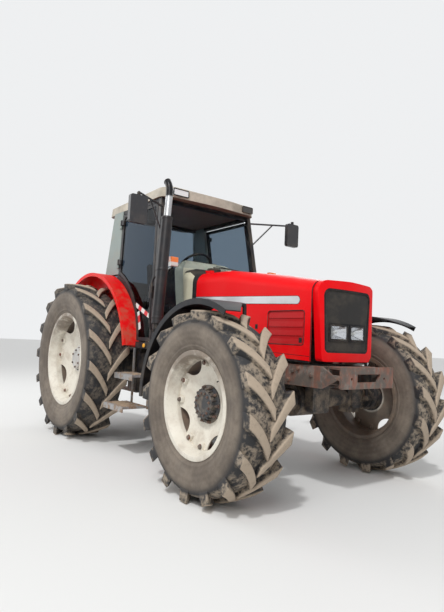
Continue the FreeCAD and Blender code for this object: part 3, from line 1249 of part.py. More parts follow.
def lamps():
    """Work lamps, indicators on stalks, and lamps on the rear fenders."""
    write("work_lamps", work_lamps())
    x, y, z = SIGNAL_X, SIGNAL_Y, SIGNAL_Z
    body = prism_y([(x - 30, z, 10), (x + 30, z, 10), (x + 30, z + 90, 10), (x - 30, z + 90, 10)],
                   y - 38, y + 38)
    foot_z = z - 90
    stalk = bar((x, y, z + 4), (post_x(foot_z) - 10, side_y(foot_z) - 20, foot_z), 26, 14)
    rear = arc_solid(0, REAR_AXLE_Z, FENDER_OUTER_R - 95, FENDER_OUTER_R, FENDER_END, FENDER_END + 3.5,
                     FENDER_INNER_Y + 40, FENDER_OUTER_Y - 20)
    signals = fused(body, stalk).cut(post_room())
    write("signal_lamps", Part.makeCompound([both(signals), both(rear)]))


# Cab inside

SEAT_TOP_Z = 1380.0
SEAT_X = 330.0                # rear of the seat's pedestal
CUSHION_HALF_W = 240.0
CUSHION_T = 110.0
BACKREST_TOP_Z = 2010.0
DASH_HALF_W = 334.0
DASH_TOP_Z = 1950.0
DASH_X = FRONT_POST_BOTTOM_X - 182
WHEEL_X = DASH_X - 250
WHEEL_Z = 1905.0
WHEEL_RISE = math.radians(44.1)     # of the column over the level
STEER_R = 190.0
STEER_RING_R = 14.0
STEER_SIDES = 24
COLUMN_L = 223.0
CONSOLE_TOP_Z = 1440.0


def cab_inside():
    """Seat, steering column, dashboard and console."""
    x = SEAT_X
    base = loft([rounded([(x, -170, 30), (x + 370, -170, 30), (x + 370, 170, 30), (x, 170, 30)],
                         plan(FLOOR_Z)),
                 rounded([(x + 30, -190, 30), (x + 360, -190, 30), (x + 360, 190, 30), (x + 30, 190, 30)],
                         plan(SEAT_TOP_Z))])
    write("seat_base", base)
    half, front_x = CUSHION_HALF_W, x + 500
    cushion = prism_z([(x + 40, -half, 60), (front_x, -half, 60), (front_x, half, 60), (x + 40, half, 60)],
                      SEAT_TOP_Z + RUN_CLEAR, SEAT_TOP_Z + CUSHION_T)
    write("seat_cushion", cushion)
    low, front_x = SEAT_TOP_Z + 10, x + 40 - RUN_CLEAR
    back = prism_y([(x - 75, low, 30), (front_x, low, 0), (front_x, low + 90, 30),
                    (x - 30, BACKREST_TOP_Z, 40), (x - 150, BACKREST_TOP_Z, 40)],
                   15 - half, half - 15)
    write("seat_backrest", back)
    x, top = DASH_X, DASH_TOP_Z
    dash = prism_y([(x, FLOOR_Z, 0), (x + 110, FLOOR_Z, 0), (x + 36, top - 60, 30), (x - 60, top, 40),
                    (x - 130, top - 90, 20), (x - 50, 1400, 0)], -DASH_HALF_W, DASH_HALF_W)
    arch = prism_x([(-DASH_HALF_W, FLOOR_Z, 0), (DASH_HALF_W, FLOOR_Z, 0), (DASH_HALF_W, top, 150),
                    (-DASH_HALF_W, top, 150)], x - 200, x + 200)
    dash = dash.common(arch)
    write("dashboard", dash)
    write("steering_wheel", steering_wheel().cut(dash))
    x = SEAT_X
    console = prism_y([(x - 210, FLOOR_Z, 0), (x + 490, FLOOR_Z, 0), (x + 490, CONSOLE_TOP_Z - 110, 40),
                       (x + 370, CONSOLE_TOP_Z - 20, 40), (x - 210, CONSOLE_TOP_Z, 30)], -560, -330)
    write("side_console", console)


def steering_wheel():
    """Ring with three spokes on its column, leaning towards the driver."""
    def place(r, turn, y):
        return V(r * math.cos(turn), y, r * math.sin(turn))

    section = [(STEER_R + STEER_RING_R * math.cos(t), STEER_RING_R * math.sin(t))
               for t in [math.pi / 3 * i for i in range(6)]]
    ring = flat_ring(section, STEER_SIDES, 0, place)
    column = loft([polygon(34, 0, 12), polygon(34, -COLUMN_L, 12)])
    pieces = [ring, column]
    for i in range(3):
        spoke = box(0, STEER_R, -7, 7, -11, 11)
        spoke.rotate(V(0, 0, 0), V(0, 1, 0), 90 + 120 * i)
        pieces.append(spoke)
    wheel = fused(*pieces)
    wheel.rotate(V(0, 0, 0), V(0, 0, 1), 90)
    wheel.rotate(V(0, 0, 0), V(0, 1, 0), math.degrees(WHEEL_RISE))
    wheel.translate(V(WHEEL_X, 0, WHEEL_Z))
    return wheel


# Rear linkage

LINK_PIVOT_X = -290.0
LINK_PIVOT_Y = 262.0
LINK_PIVOT_Z = 470.0
LINK_END_X = -1008.0
LINK_END_Y = 412.0
LINK_END_Z = 505.0
LINK_NECK = 85.0              # straight run between the bracket's cheeks
LINK_EYE_R = 14.35            # category 2 lower link ball
LIFT_AXIS_X = -215.0
LIFT_AXIS_Z = 1075.0
LIFT_ARM_END_X = -600.0
LIFT_ARM_END_Z = 1100.0
LIFT_ROD_FOOT_SHARE = 0.54    # along the lower link
LIFT_EAR_H = 70.0             # lower eye of the lift rod over the link
LIFT_Y = 300.0
LIFT_PIN_R = 12.0


LIFT_SHAFT_R = 30.0
TOP_LINK_LOW = (-372.0, 0.0, 880.0)
TOP_LINK_HIGH = (-655.0, 0.0, 1430.0)
TOP_LINK_EYE_R = 12.85        # category 2 top link pin
PTO_Z = 640.0
PTO_R = 17.45


def linkage_carriers():
    """Lift housing with its shaft, link brackets, top link fork and power take-off stub."""
    housing = fused(disc_y(LIFT_AXIS_X, LIFT_AXIS_Z, 62, -262, 262),
                    box(-300, -60, -200, 200, GEARBOX_TOP_Z - 5, LIFT_AXIS_Z),
                    disc_y(LIFT_AXIS_X, LIFT_AXIS_Z, LIFT_SHAFT_R, -332, 332))
    pin = disc_y(LINK_PIVOT_X, LINK_PIVOT_Z, 20, LINK_PIVOT_Y - 40, LINK_PIVOT_Y + 40)
    cheek = prism_y([(-240, 560, 0), (LINK_PIVOT_X + 20, LINK_PIVOT_Z - 46, 20),
                     (LINK_PIVOT_X - 46, LINK_PIVOT_Z - 46, 30), (LINK_PIVOT_X - 46, 530, 20),
                     (-300, 640, 0), (-240, 640, 0)],
                    LINK_PIVOT_Y - 34, LINK_PIVOT_Y - 18)
    outer_cheek = cheek.translated(V(0, 52, 0))
    tie = box(-300, -240, 232, LINK_PIVOT_Y + 34, 600, 640)
    bracket = fused(cheek, outer_cheek, tie, pin)
    x, _, z = TOP_LINK_LOW
    fork = fused(box(x - 40, -325, -46, -26, z - 50, z + 50), box(x - 40, -325, 26, 46, z - 50, z + 50),
                 disc_y(x, z, TOP_LINK_EYE_R, -46, 46))
    stub = fused(Part.makeCylinder(PTO_R, 110, V(-430, 0, PTO_Z), V(1, 0, 0)),
                 Part.makeCylinder(60, 22, V(-342, 0, PTO_Z), V(1, 0, 0)))
    return [housing, bracket, mirrored(bracket), fork, stub]


def link_points():
    """Pivot, neck and end of the left lower link, and the place of its ear."""
    start = V(LINK_PIVOT_X, LINK_PIVOT_Y, LINK_PIVOT_Z)
    end = V(LINK_END_X, LINK_END_Y, LINK_END_Z)
    length = LINK_PIVOT_X - LINK_END_X

    def at(reach):
        """Point on the link's middle line, reach behind the pivot."""
        sideways = max(reach - LINK_NECK, 0) / (length - LINK_NECK)
        return V(LINK_PIVOT_X - reach, LINK_PIVOT_Y + sideways * (LINK_END_Y - LINK_PIVOT_Y),
                 LINK_PIVOT_Z + reach / length * (LINK_END_Z - LINK_PIVOT_Z))
    return start, at(LINK_NECK), end, at(length * LIFT_ROD_FOOT_SHARE)


def rear_linkage():
    """Lower links, lift arms, lift rods, top link and drawbar."""
    start, neck, end, foot = link_points()
    link = fused(bar(tuple(start), tuple(neck), 24, 70), bar(tuple(neck), tuple(end), 24, 70),
                 Part.makeCylinder(13, 60, neck - V(0, 0, 30)),
                 disc_y(LINK_PIVOT_X, LINK_PIVOT_Z, 44, LINK_PIVOT_Y - 16, LINK_PIVOT_Y + 16),
                 disc_y(LINK_END_X, LINK_END_Z, 42, LINK_END_Y - 22, LINK_END_Y + 22),
                 box(foot.x - 26, foot.x + 26, foot.y - 8, foot.y + 8, foot.z + 20,
                     foot.z + LIFT_EAR_H + 26))
    link = link.cut(disc_y(LINK_END_X, LINK_END_Z, LINK_EYE_R, LINK_END_Y - 60, LINK_END_Y + 60))
    link = link.cut(disc_y(LINK_PIVOT_X, LINK_PIVOT_Z, 20 + RUN_CLEAR, LINK_PIVOT_Y - 60,
                           LINK_PIVOT_Y + 60))
    write("lower_links", both(link))
    arm = fused(bar((LIFT_AXIS_X, LIFT_Y, LIFT_AXIS_Z), (LIFT_ARM_END_X, LIFT_Y, LIFT_ARM_END_Z), 26, 64),
                disc_y(LIFT_AXIS_X, LIFT_AXIS_Z, 56, LIFT_Y - 30, LIFT_Y + 26),
                disc_y(LIFT_ARM_END_X, LIFT_ARM_END_Z, 32, LIFT_Y - 13, LIFT_Y + 13))
    arm = arm.cut(disc_y(LIFT_AXIS_X, LIFT_AXIS_Z, LIFT_SHAFT_R + RUN_CLEAR, 200, 400))
    arm = arm.cut(disc_y(LIFT_ARM_END_X, LIFT_ARM_END_Z, LIFT_PIN_R + RUN_CLEAR, 200, 400))
    write("lift_arms", both(arm))
    head = (LIFT_ARM_END_X, LIFT_Y, LIFT_ARM_END_Z)
    low = (foot.x, foot.y, foot.z + LIFT_EAR_H)
    high_end, low_end = along(head, low, 0.16), along(head, low, 0.84)
    pieces = [rod(high_end, low_end, 17),
              disc_y(LIFT_ARM_END_X, LIFT_ARM_END_Z, LIFT_PIN_R, LIFT_Y - 38, LIFT_Y + 38)]
    for sign in (-1, 1):
        pieces.append(bar((head[0], head[1] + sign * 26, head[2] + 24),
                          (high_end[0], high_end[1] + sign * 26, high_end[2] - 10), 12, 44, (1, 0, 0)))
        pieces.append(bar((low_end[0], low_end[1] + sign * 26, low_end[2] + 10),
                          (low[0], low[1] + sign * 26, low[2] - 24), 12, 44, (1, 0, 0)))
    for point in (high_end, low_end):
        pieces.append(box(point[0] - 22, point[0] + 22, point[1] - 32, point[1] + 32,
                          point[2] - 14, point[2] + 14))
    write("lift_rods", both(fused(*pieces)))
    top_a, top_b = TOP_LINK_LOW, TOP_LINK_HIGH
    top = fused(rod(along(top_a, top_b, 0.04), along(top_a, top_b, 0.96), 18),
                rod(along(top_a, top_b, 0.3), along(top_a, top_b, 0.7), 27),
                disc_y(top_a[0], top_a[2], 34, -20, 20), disc_y(top_b[0], top_b[2], 36, -22, 22))
    top = top.cut(disc_y(top_a[0], top_a[2], TOP_LINK_EYE_R + RUN_CLEAR, -60, 60))
    top = top.cut(disc_y(top_b[0], top_b[2], TOP_LINK_EYE_R, -60, 60))
    write("top_link", top)
    draw = fused(box(-760, -180, -40, 40, 410, 448), box(-330, -120, -90, 90, 448, 560))
    draw = draw.cut(rod((-715, 0, 380), (-715, 0, 480), 16))
    write("drawbar", draw)


WRITTEN = []


def write(node, shape):
    """Write one node, moved so that the origin is under the tractor's middle."""
    placed = shape.copy()
    placed.translate(V(-CENTRE_X, 0, 0))
    if not placed.isValid():
        print("not valid:", node)
    placed.exportStep("parts/%s.step" % node)
    WRITTEN.append(node)


def main():
    """Build every sub-assembly in turn."""
    os.makedirs("parts", exist_ok=True)
    wheels()
    front_axle()
    track_rods()
    write_steered()
    drive_train()
    front_frame()
    front_plate()
    hood()
    nose()
    cab_frame()
    cab_roof()
    cowl()
    doors()
    fender = rear_fender()
    write("rear_fenders", both(fender))
    steps()
    tanks()
    exhaust()
    mirrors()
    lamps()
    cab_inside()
    rear_linkage()
    print(len(WRITTEN), "nodes")


main()
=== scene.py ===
"""Farm tractor: finishes, small fittings, floor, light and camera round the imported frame."""
import logging
import math
from collections.abc import Callable, Iterator
from contextlib import contextmanager
from dataclasses import dataclass, field
from enum import Enum

import bmesh
import bpy
from mathutils import Matrix, Vector


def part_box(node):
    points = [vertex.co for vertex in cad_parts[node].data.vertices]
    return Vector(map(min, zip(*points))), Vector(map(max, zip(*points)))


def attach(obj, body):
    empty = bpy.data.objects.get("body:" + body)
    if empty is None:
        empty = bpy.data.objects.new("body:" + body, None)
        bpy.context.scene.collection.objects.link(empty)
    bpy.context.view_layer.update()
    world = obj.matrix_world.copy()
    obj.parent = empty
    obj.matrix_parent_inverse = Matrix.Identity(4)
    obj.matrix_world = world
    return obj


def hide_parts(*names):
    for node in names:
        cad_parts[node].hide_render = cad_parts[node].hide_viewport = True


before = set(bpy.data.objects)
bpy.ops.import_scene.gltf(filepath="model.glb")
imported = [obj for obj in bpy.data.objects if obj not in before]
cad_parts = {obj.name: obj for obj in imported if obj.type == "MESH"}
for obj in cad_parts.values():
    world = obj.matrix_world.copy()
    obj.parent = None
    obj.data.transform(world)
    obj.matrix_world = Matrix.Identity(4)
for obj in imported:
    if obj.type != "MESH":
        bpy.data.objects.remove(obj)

LOG = logging.getLogger("tractor")
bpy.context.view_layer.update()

Colour = tuple[float, float, float]
Point = tuple[float, float, float]


class Hand(Enum):
    """Side of the tractor as the driver sees it."""

    LEFT = 1
    RIGHT = -1

    @property
    def word(self) -> str:
        """Name of the side, as it stands in node names."""
        return self.name.lower()


def node_centre(node: str) -> Vector:
    """Middle of a node's box at rest.

    Args:
        node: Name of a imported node.

    Returns:
        The middle, in metres.
    """
    low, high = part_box(node)
    return (low + high) / 2


REAR_AXLE_X = node_centre("rim_rear_left").x
MILLIMETRE = 0.001


def at(x: float, y: float, z: float) -> Vector:
    """Place a point that is laid out in millimetres from the rear axle and the ground.

    Args:
        x: Distance ahead of the rear axle.
        y: Distance to the driver's left.
        z: Height over the ground.

    Returns:
        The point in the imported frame, in metres.
    """
    return Vector((x * MILLIMETRE + REAR_AXLE_X, y * MILLIMETRE, z * MILLIMETRE))


# Node groups that several finishes share

def link(tree: bpy.types.NodeTree, source: bpy.types.NodeSocket,
         target: bpy.types.NodeSocket) -> None:
    """Join two sockets."""
    tree.links.new(source, target)


def new_group(name: str, inputs: dict[str, tuple[str, object]],
              outputs: dict[str, str]) -> tuple[bpy.types.NodeTree, bpy.types.Node, bpy.types.Node]:
    """Start a shader node group with named sockets.

    Args:
        name: Name of the group.
        inputs: Socket name to its type and default.
        outputs: Socket name to its type.

    Returns:
        The tree, its input node and its output node.
    """
    tree = bpy.data.node_groups.new(name, "ShaderNodeTree")
    for label, (kind, default) in inputs.items():
        socket = tree.interface.new_socket(label, in_out="INPUT", socket_type=kind)
        if kind == "NodeSocketColor":
            socket.default_value = (*default, 1.0)
        elif kind == "NodeSocketFloat":
            socket.default_value = default
    for label, kind in outputs.items():
        tree.interface.new_socket(label, in_out="OUTPUT", socket_type=kind)
    return tree, tree.nodes.new("NodeGroupInput"), tree.nodes.new("NodeGroupOutput")


def arithmetic(tree: bpy.types.NodeTree, operation: str, first: object, second: object = 0.0,
               clamp: bool = False) -> bpy.types.NodeSocket:
    """Add a Math node.

    Args:
        tree: Tree that takes the node.
        operation: Name of the operation.
        first: Socket or number.
        second: Socket or number.
        clamp: Keep the result between 0 and 1.

    Returns:
        The result's socket.
    """
    node = tree.nodes.new("ShaderNodeMath")
    node.operation = operation
    node.use_clamp = clamp
    for socket, value in zip(node.inputs, (first, second)):
        if isinstance(value, bpy.types.NodeSocket):
            link(tree, value, socket)
        else:
            socket.default_value = value
    return node.outputs[0]


def ramp(tree: bpy.types.NodeTree, value: bpy.types.NodeSocket, low: object, high: object,
         smooth: bool = True) -> bpy.types.NodeSocket:
    """Map a value from low..high to 0..1.

    Args:
        tree: Tree that takes the node.
        value: Socket to map.
        low: Number or socket that becomes 0.
        high: Number or socket that becomes 1.
        smooth: Ease both ends.

    Returns:
        The mapped socket.
    """
    node = tree.nodes.new("ShaderNodeMapRange")
    node.interpolation_type = "SMOOTHSTEP" if smooth else "LINEAR"
    link(tree, value, node.inputs["Value"])
    for label, number in (("From Min", low), ("From Max", high)):
        if isinstance(number, bpy.types.NodeSocket):
            link(tree, number, node.inputs[label])
        else:
            node.inputs[label].default_value = number
    return node.outputs["Result"]


def blend_colour(tree: bpy.types.NodeTree, share: object, first: object,
                 second: object) -> bpy.types.NodeSocket:
    """Mix two colours.

    Args:
        tree: Tree that takes the node.
        share: Socket or number, 0 for the first colour.
        first: Socket or colour.
        second: Socket or colour.

    Returns:
        The mixed colour's socket.
    """
    node = tree.nodes.new("ShaderNodeMix")
    node.data_type = "RGBA"
    for socket, value in ((node.inputs[0], share), (node.inputs[6], first), (node.inputs[7], second)):
        if isinstance(value, bpy.types.NodeSocket):
            link(tree, value, socket)
        elif isinstance(value, tuple):
            socket.default_value = (*value, 1.0)
        else:
            socket.default_value = value
    return node.outputs[2]


def noise(tree: bpy.types.NodeTree, place: bpy.types.NodeSocket, scale: object, detail: float = 4.0,
          roughness: float = 0.55) -> bpy.types.NodeSocket:
    """Add a noise pattern.

    Args:
        tree: Tree that takes the node.
        place: Coordinates.
        scale: Socket or number.
        detail: Octaves.
        roughness: Share of the fine octaves.

    Returns:
        The pattern's value.
    """
    node = tree.nodes.new("ShaderNodeTexNoise")
    node.inputs["Detail"].default_value = detail
    node.inputs["Roughness"].default_value = roughness
    link(tree, place, node.inputs["Vector"])
    if isinstance(scale, bpy.types.NodeSocket):
        link(tree, scale, node.inputs["Scale"])
    else:
        node.inputs["Scale"].default_value = scale
    return node.outputs["Fac"]


def weather_group() -> bpy.types.NodeTree:
    """Build the dust and mud that lie on every outer piece.

    Returns:
        A group that puts out the dirty colour, its roughness and the dirt's mask.
    """
    number, colour = "NodeSocketFloat", "NodeSocketColor"
    tree, given, result = new_group("weather", {
        "Paint": (colour, (0.5, 0.5, 0.5)), "Gloss": (number, 0.4), "Dust": (colour, (0.42, 0.33, 0.24)),
        "Amount": (number, 0.2), "Scale": (number, 6.0), "Mud": (number, 0.0),
        "Mud Height": (number, 0.9), "Settled": (number, 0.0)},
        {"Colour": colour, "Roughness": number, "Mask": number})
    place = tree.nodes.new("ShaderNodeTexCoord").outputs["Object"]
    normal = tree.nodes.new("ShaderNodeSeparateXYZ")
    link(tree, tree.nodes.new("ShaderNodeNewGeometry").outputs["Normal"], normal.inputs[0])
    height = tree.nodes.new("ShaderNodeSeparateXYZ")
    link(tree, place, height.inputs[0])
    broad = noise(tree, place, given.outputs["Scale"], 6.0, 0.62)
    fine = noise(tree, place, arithmetic(tree, "MULTIPLY", given.outputs["Scale"], 7.0), 3.0, 0.6)
    patches = ramp(tree, broad, 0.44, 0.68)
    specks = ramp(tree, fine, 0.52, 0.72)
    film = arithmetic(tree, "ADD", arithmetic(tree, "MULTIPLY", patches, 0.75),
                      arithmetic(tree, "MULTIPLY", specks, 0.35))
    upward = ramp(tree, normal.outputs["Z"], 0.15, 0.95)
    settled = arithmetic(tree, "MULTIPLY", arithmetic(tree, "MULTIPLY", upward, given.outputs["Settled"]),
                         arithmetic(tree, "ADD", 0.45, patches))
    low = arithmetic(tree, "SUBTRACT", 1.0,
                     ramp(tree, height.outputs["Z"], 0.1, given.outputs["Mud Height"]))
    splashed = arithmetic(tree, "MULTIPLY", arithmetic(tree, "MULTIPLY", low, given.outputs["Mud"]),
                          ramp(tree, broad, 0.36, 0.58))
    mask = arithmetic(tree, "MULTIPLY", film, given.outputs["Amount"])
    mask = arithmetic(tree, "ADD", mask, settled)
    mask = arithmetic(tree, "ADD", mask, splashed, clamp=True)
    link(tree, blend_colour(tree, mask, given.outputs["Paint"], given.outputs["Dust"]),
         result.inputs["Colour"])
    gap = arithmetic(tree, "SUBTRACT", 0.85, given.outputs["Gloss"])
    rough = arithmetic(tree, "ADD", given.outputs["Gloss"], arithmetic(tree, "MULTIPLY", gap, mask))
    link(tree, rough, result.inputs["Roughness"])
    link(tree, mask, result.inputs["Mask"])
    return tree


def grain_group() -> bpy.types.NodeTree:
    """Build the fine unevenness of castings, rubber and moulded plastic.

    Returns:
        A group that puts out a height.
    """
    number = "NodeSocketFloat"
    tree, given, result = new_group("grain", {"Scale": (number, 200.0), "Waves": (number, 8.0),
                                              "Wave Share": (number, 0.3)}, {"Height": number})
    place = tree.nodes.new("ShaderNodeTexCoord").outputs["Object"]
    fine = noise(tree, place, given.outputs["Scale"], 3.0)
    broad = noise(tree, place, given.outputs["Waves"], 2.0)
    total = arithmetic(tree, "ADD", fine, arithmetic(tree, "MULTIPLY", broad, given.outputs["Wave Share"]))
    link(tree, total, result.inputs["Height"])
    return tree


def rust_group() -> bpy.types.NodeTree:
    """Build rust and bare metal that grow from edges and in patches.

    Returns:
        A group that puts out the worn colour and its roughness.
    """
    number, colour = "NodeSocketFloat", "NodeSocketColor"
    tree, given, result = new_group("rust", {
        "Paint": (colour, (0.1, 0.1, 0.1)), "Rust": (colour, (0.33, 0.085, 0.038)),
        "Bare": (colour, (0.19, 0.165, 0.145)), "Amount": (number, 0.5), "Edge": (number, 0.6),
        "Scale": (number, 9.0)}, {"Colour": colour, "Mask": number})
    place = tree.nodes.new("ShaderNodeTexCoord").outputs["Object"]
    bevel = tree.nodes.new("ShaderNodeBevel")
    bevel.samples = 4
    bevel.inputs["Radius"].default_value = 0.006
    dot = tree.nodes.new("ShaderNodeVectorMath")
    dot.operation = "DOT_PRODUCT"
    link(tree, bevel.outputs["Normal"], dot.inputs[0])
    link(tree, tree.nodes.new("ShaderNodeNewGeometry").outputs["Normal"], dot.inputs[1])
    edge = arithmetic(tree, "SUBTRACT", 1.0, ramp(tree, dot.outputs["Value"], 0.80, 0.995))
    broad = noise(tree, place, given.outputs["Scale"], 8.0, 0.68)
    streak_place = tree.nodes.new("ShaderNodeVectorMath")
    streak_place.operation = "MULTIPLY"
    streak_place.inputs[1].default_value = (1.0, 1.0, 0.25)
    link(tree, place, streak_place.inputs[0])
    streaks = noise(tree, streak_place.outputs["Vector"],
                    arithmetic(tree, "MULTIPLY", given.outputs["Scale"], 3.0), 4.0)
    patches = arithmetic(tree, "MULTIPLY", ramp(tree, broad, 0.42, 0.60), given.outputs["Amount"])
    patches = arithmetic(tree, "MULTIPLY", patches, arithmetic(tree, "ADD", ramp(tree, streaks, 0.35, 0.65), 0.35))
    edges = arithmetic(tree, "MULTIPLY", edge, given.outputs["Edge"])
    mask = arithmetic(tree, "ADD", patches, edges, clamp=True)
    rusty = blend_colour(tree, ramp(tree, streaks, 0.4, 0.62), given.outputs["Rust"], given.outputs["Bare"])
    link(tree, blend_colour(tree, mask, given.outputs["Paint"], rusty), result.inputs["Colour"])
    link(tree, mask, result.inputs["Mask"])
    return tree


@dataclass
class Groups:
    """The shared node groups, built once."""

    weather: bpy.types.NodeTree = field(default_factory=weather_group)
    grain: bpy.types.NodeTree = field(default_factory=grain_group)
    rust: bpy.types.NodeTree = field(default_factory=rust_group)


def place_group(tree: bpy.types.NodeTree, group: bpy.types.NodeTree,
                values: dict[str, object]) -> bpy.types.Node:
    """Put a group in a material with its own values.

    Args:
        tree: The material's tree.
        group: The group.
        values: Socket name to a number, a colour or a socket.

    Returns:
        The group's node.
    """
    node = tree.nodes.new("ShaderNodeGroup")
    node.node_tree = group
    for label, value in values.items():
        if isinstance(value, bpy.types.NodeSocket):
            link(tree, value, node.inputs[label])
        elif isinstance(value, tuple):
            node.inputs[label].default_value = (*value, 1.0)
        else:
            node.inputs[label].default_value = value
    return node


def new_material(name: str) -> tuple[bpy.types.Material, bpy.types.NodeTree, bpy.types.Node]:
    """Start a material.

    Args:
        name: Name of the finish.

    Returns:
        The material, its tree and its surface shader.
    """
    material = bpy.data.materials.new(name)
    material.use_nodes = True
    return material, material.node_tree, material.node_tree.nodes["Principled BSDF"]


@dataclass(frozen=True)
class Finish:
    """Painted, cast or moulded surface with its dirt."""

    name: str
    colour: Colour
    gloss: float = 0.4            # roughness when clean
    metallic: float = 0.0
    coat: float = 0.0
    dust: Colour = (0.40, 0.31, 0.22)
    amount: float = 0.2
    scale: float = 6.0
    mud: float = 0.0
    mud_height: float = 0.9
    settled: float = 0.0
    rust: float = 0.0
    rust_edge: float = 0.0
    grain_scale: float = 220.0
    grain_height: float = 0.0004
    glow: float = 0.0
    shine: float = 0.5            # strength of the mirror-like share

    def paint(self, tree: bpy.types.NodeTree) -> object:
        """Give the clean colour, for finishes that vary it."""
        return self.colour

    def build(self, groups: Groups) -> bpy.types.Material:
        """Make the material.

        Args:
            groups: The shared node groups.

        Returns:
            The material.
        """
        material, tree, shader = new_material(self.name)
        paint = self.paint(tree)
        if self.rust > 0 or self.rust_edge > 0:
            worn = place_group(tree, groups.rust, {"Paint": paint, "Amount": self.rust,
                                                   "Edge": self.rust_edge})
            paint = worn.outputs["Colour"]
        dirt = place_group(tree, groups.weather, {
            "Paint": paint, "Gloss": self.gloss, "Dust": self.dust, "Amount": self.amount,
            "Scale": self.scale, "Mud": self.mud, "Mud Height": self.mud_height,
            "Settled": self.settled})
        link(tree, dirt.outputs["Colour"], shader.inputs["Base Color"])
        link(tree, dirt.outputs["Roughness"], shader.inputs["Roughness"])
        shader.inputs["Metallic"].default_value = self.metallic
        shader.inputs["Coat Weight"].default_value = self.coat
        shader.inputs["Coat Roughness"].default_value = 0.06
        shader.inputs["Specular IOR Level"].default_value = self.shine
        if self.glow > 0:
            shader.inputs["Emission Color"].default_value = (*self.colour, 1.0)
            shader.inputs["Emission Strength"].default_value = self.glow
        if self.grain_height > 0:
            grain = place_group(tree, groups.grain, {"Scale": self.grain_scale})
            bump = tree.nodes.new("ShaderNodeBump")
            bump.inputs["Strength"].default_value = 0.6
            bump.inputs["Distance"].default_value = self.grain_height
            link(tree, grain.outputs["Height"], bump.inputs["Height"])
            link(tree, bump.outputs["Normal"], shader.inputs["Normal"])
        return material


@dataclass(frozen=True)
class TwoTone(Finish):
    """Finish whose colour changes across a plane, as on posts painted apart."""

    second: Colour = (0.1, 0.1, 0.1)
    axis: int = 0                 # 0, 1, 2 for X, Y, Z
    edge: float = 0.0             # where the second colour starts
    low_edge: float = -99.0       # below this it is the second colour again
    soft: float = 0.002

    def paint(self, tree: bpy.types.NodeTree) -> bpy.types.NodeSocket:
        """Mix the two colours across the plane.

        Args:
            tree: The material's tree.

        Returns:
            The colour's socket.
        """
        parts = tree.nodes.new("ShaderNodeSeparateXYZ")
        link(tree, tree.nodes.new("ShaderNodeTexCoord").outputs["Object"], parts.inputs[0])
        share = ramp(tree, parts.outputs[self.axis], self.edge - self.soft, self.edge + self.soft)
        share = arithmetic(tree, "MAXIMUM", share,
                           arithmetic(tree, "LESS_THAN", parts.outputs[self.axis], self.low_edge))
        return blend_colour(tree, share, self.colour, self.second)


@dataclass(frozen=True)
class HoodFinish(Finish):
    """Red paint, with painted shade darkening the louvred recesses of the hood's sides."""

    # Painted shade: darker red standing in for the shade in the louvred recesses.
    recess_shade: Colour = (0.40, 0.010, 0.014)
    recess_x: tuple[float, float] = (2.530, 2.923)    # ahead of the rear axle
    recess_z: tuple[float, float] = (1.116, 1.373)

    def paint(self, tree: bpy.types.NodeTree) -> bpy.types.NodeSocket:
        """Paint shade in the box between the edges of the louvre recesses.

        Args:
            tree: The material's tree.

        Returns:
            The colour's socket.
        """
        parts = tree.nodes.new("ShaderNodeSeparateXYZ")
        link(tree, tree.nodes.new("ShaderNodeTexCoord").outputs["Object"], parts.inputs[0])
        inside: object = 1.0
        for socket, (low, high), shift in ((parts.outputs["X"], self.recess_x, REAR_AXLE_X),
                                           (parts.outputs["Z"], self.recess_z, 0.0)):
            inside = arithmetic(tree, "MULTIPLY", inside, arithmetic(tree, "GREATER_THAN", socket, low + shift))
            inside = arithmetic(tree, "MULTIPLY", inside, arithmetic(tree, "LESS_THAN", socket, high + shift))
        # Mix in the painted shade inside the box.
        return blend_colour(tree, arithmetic(tree, "MULTIPLY", inside, 0.8), self.colour, self.recess_shade)


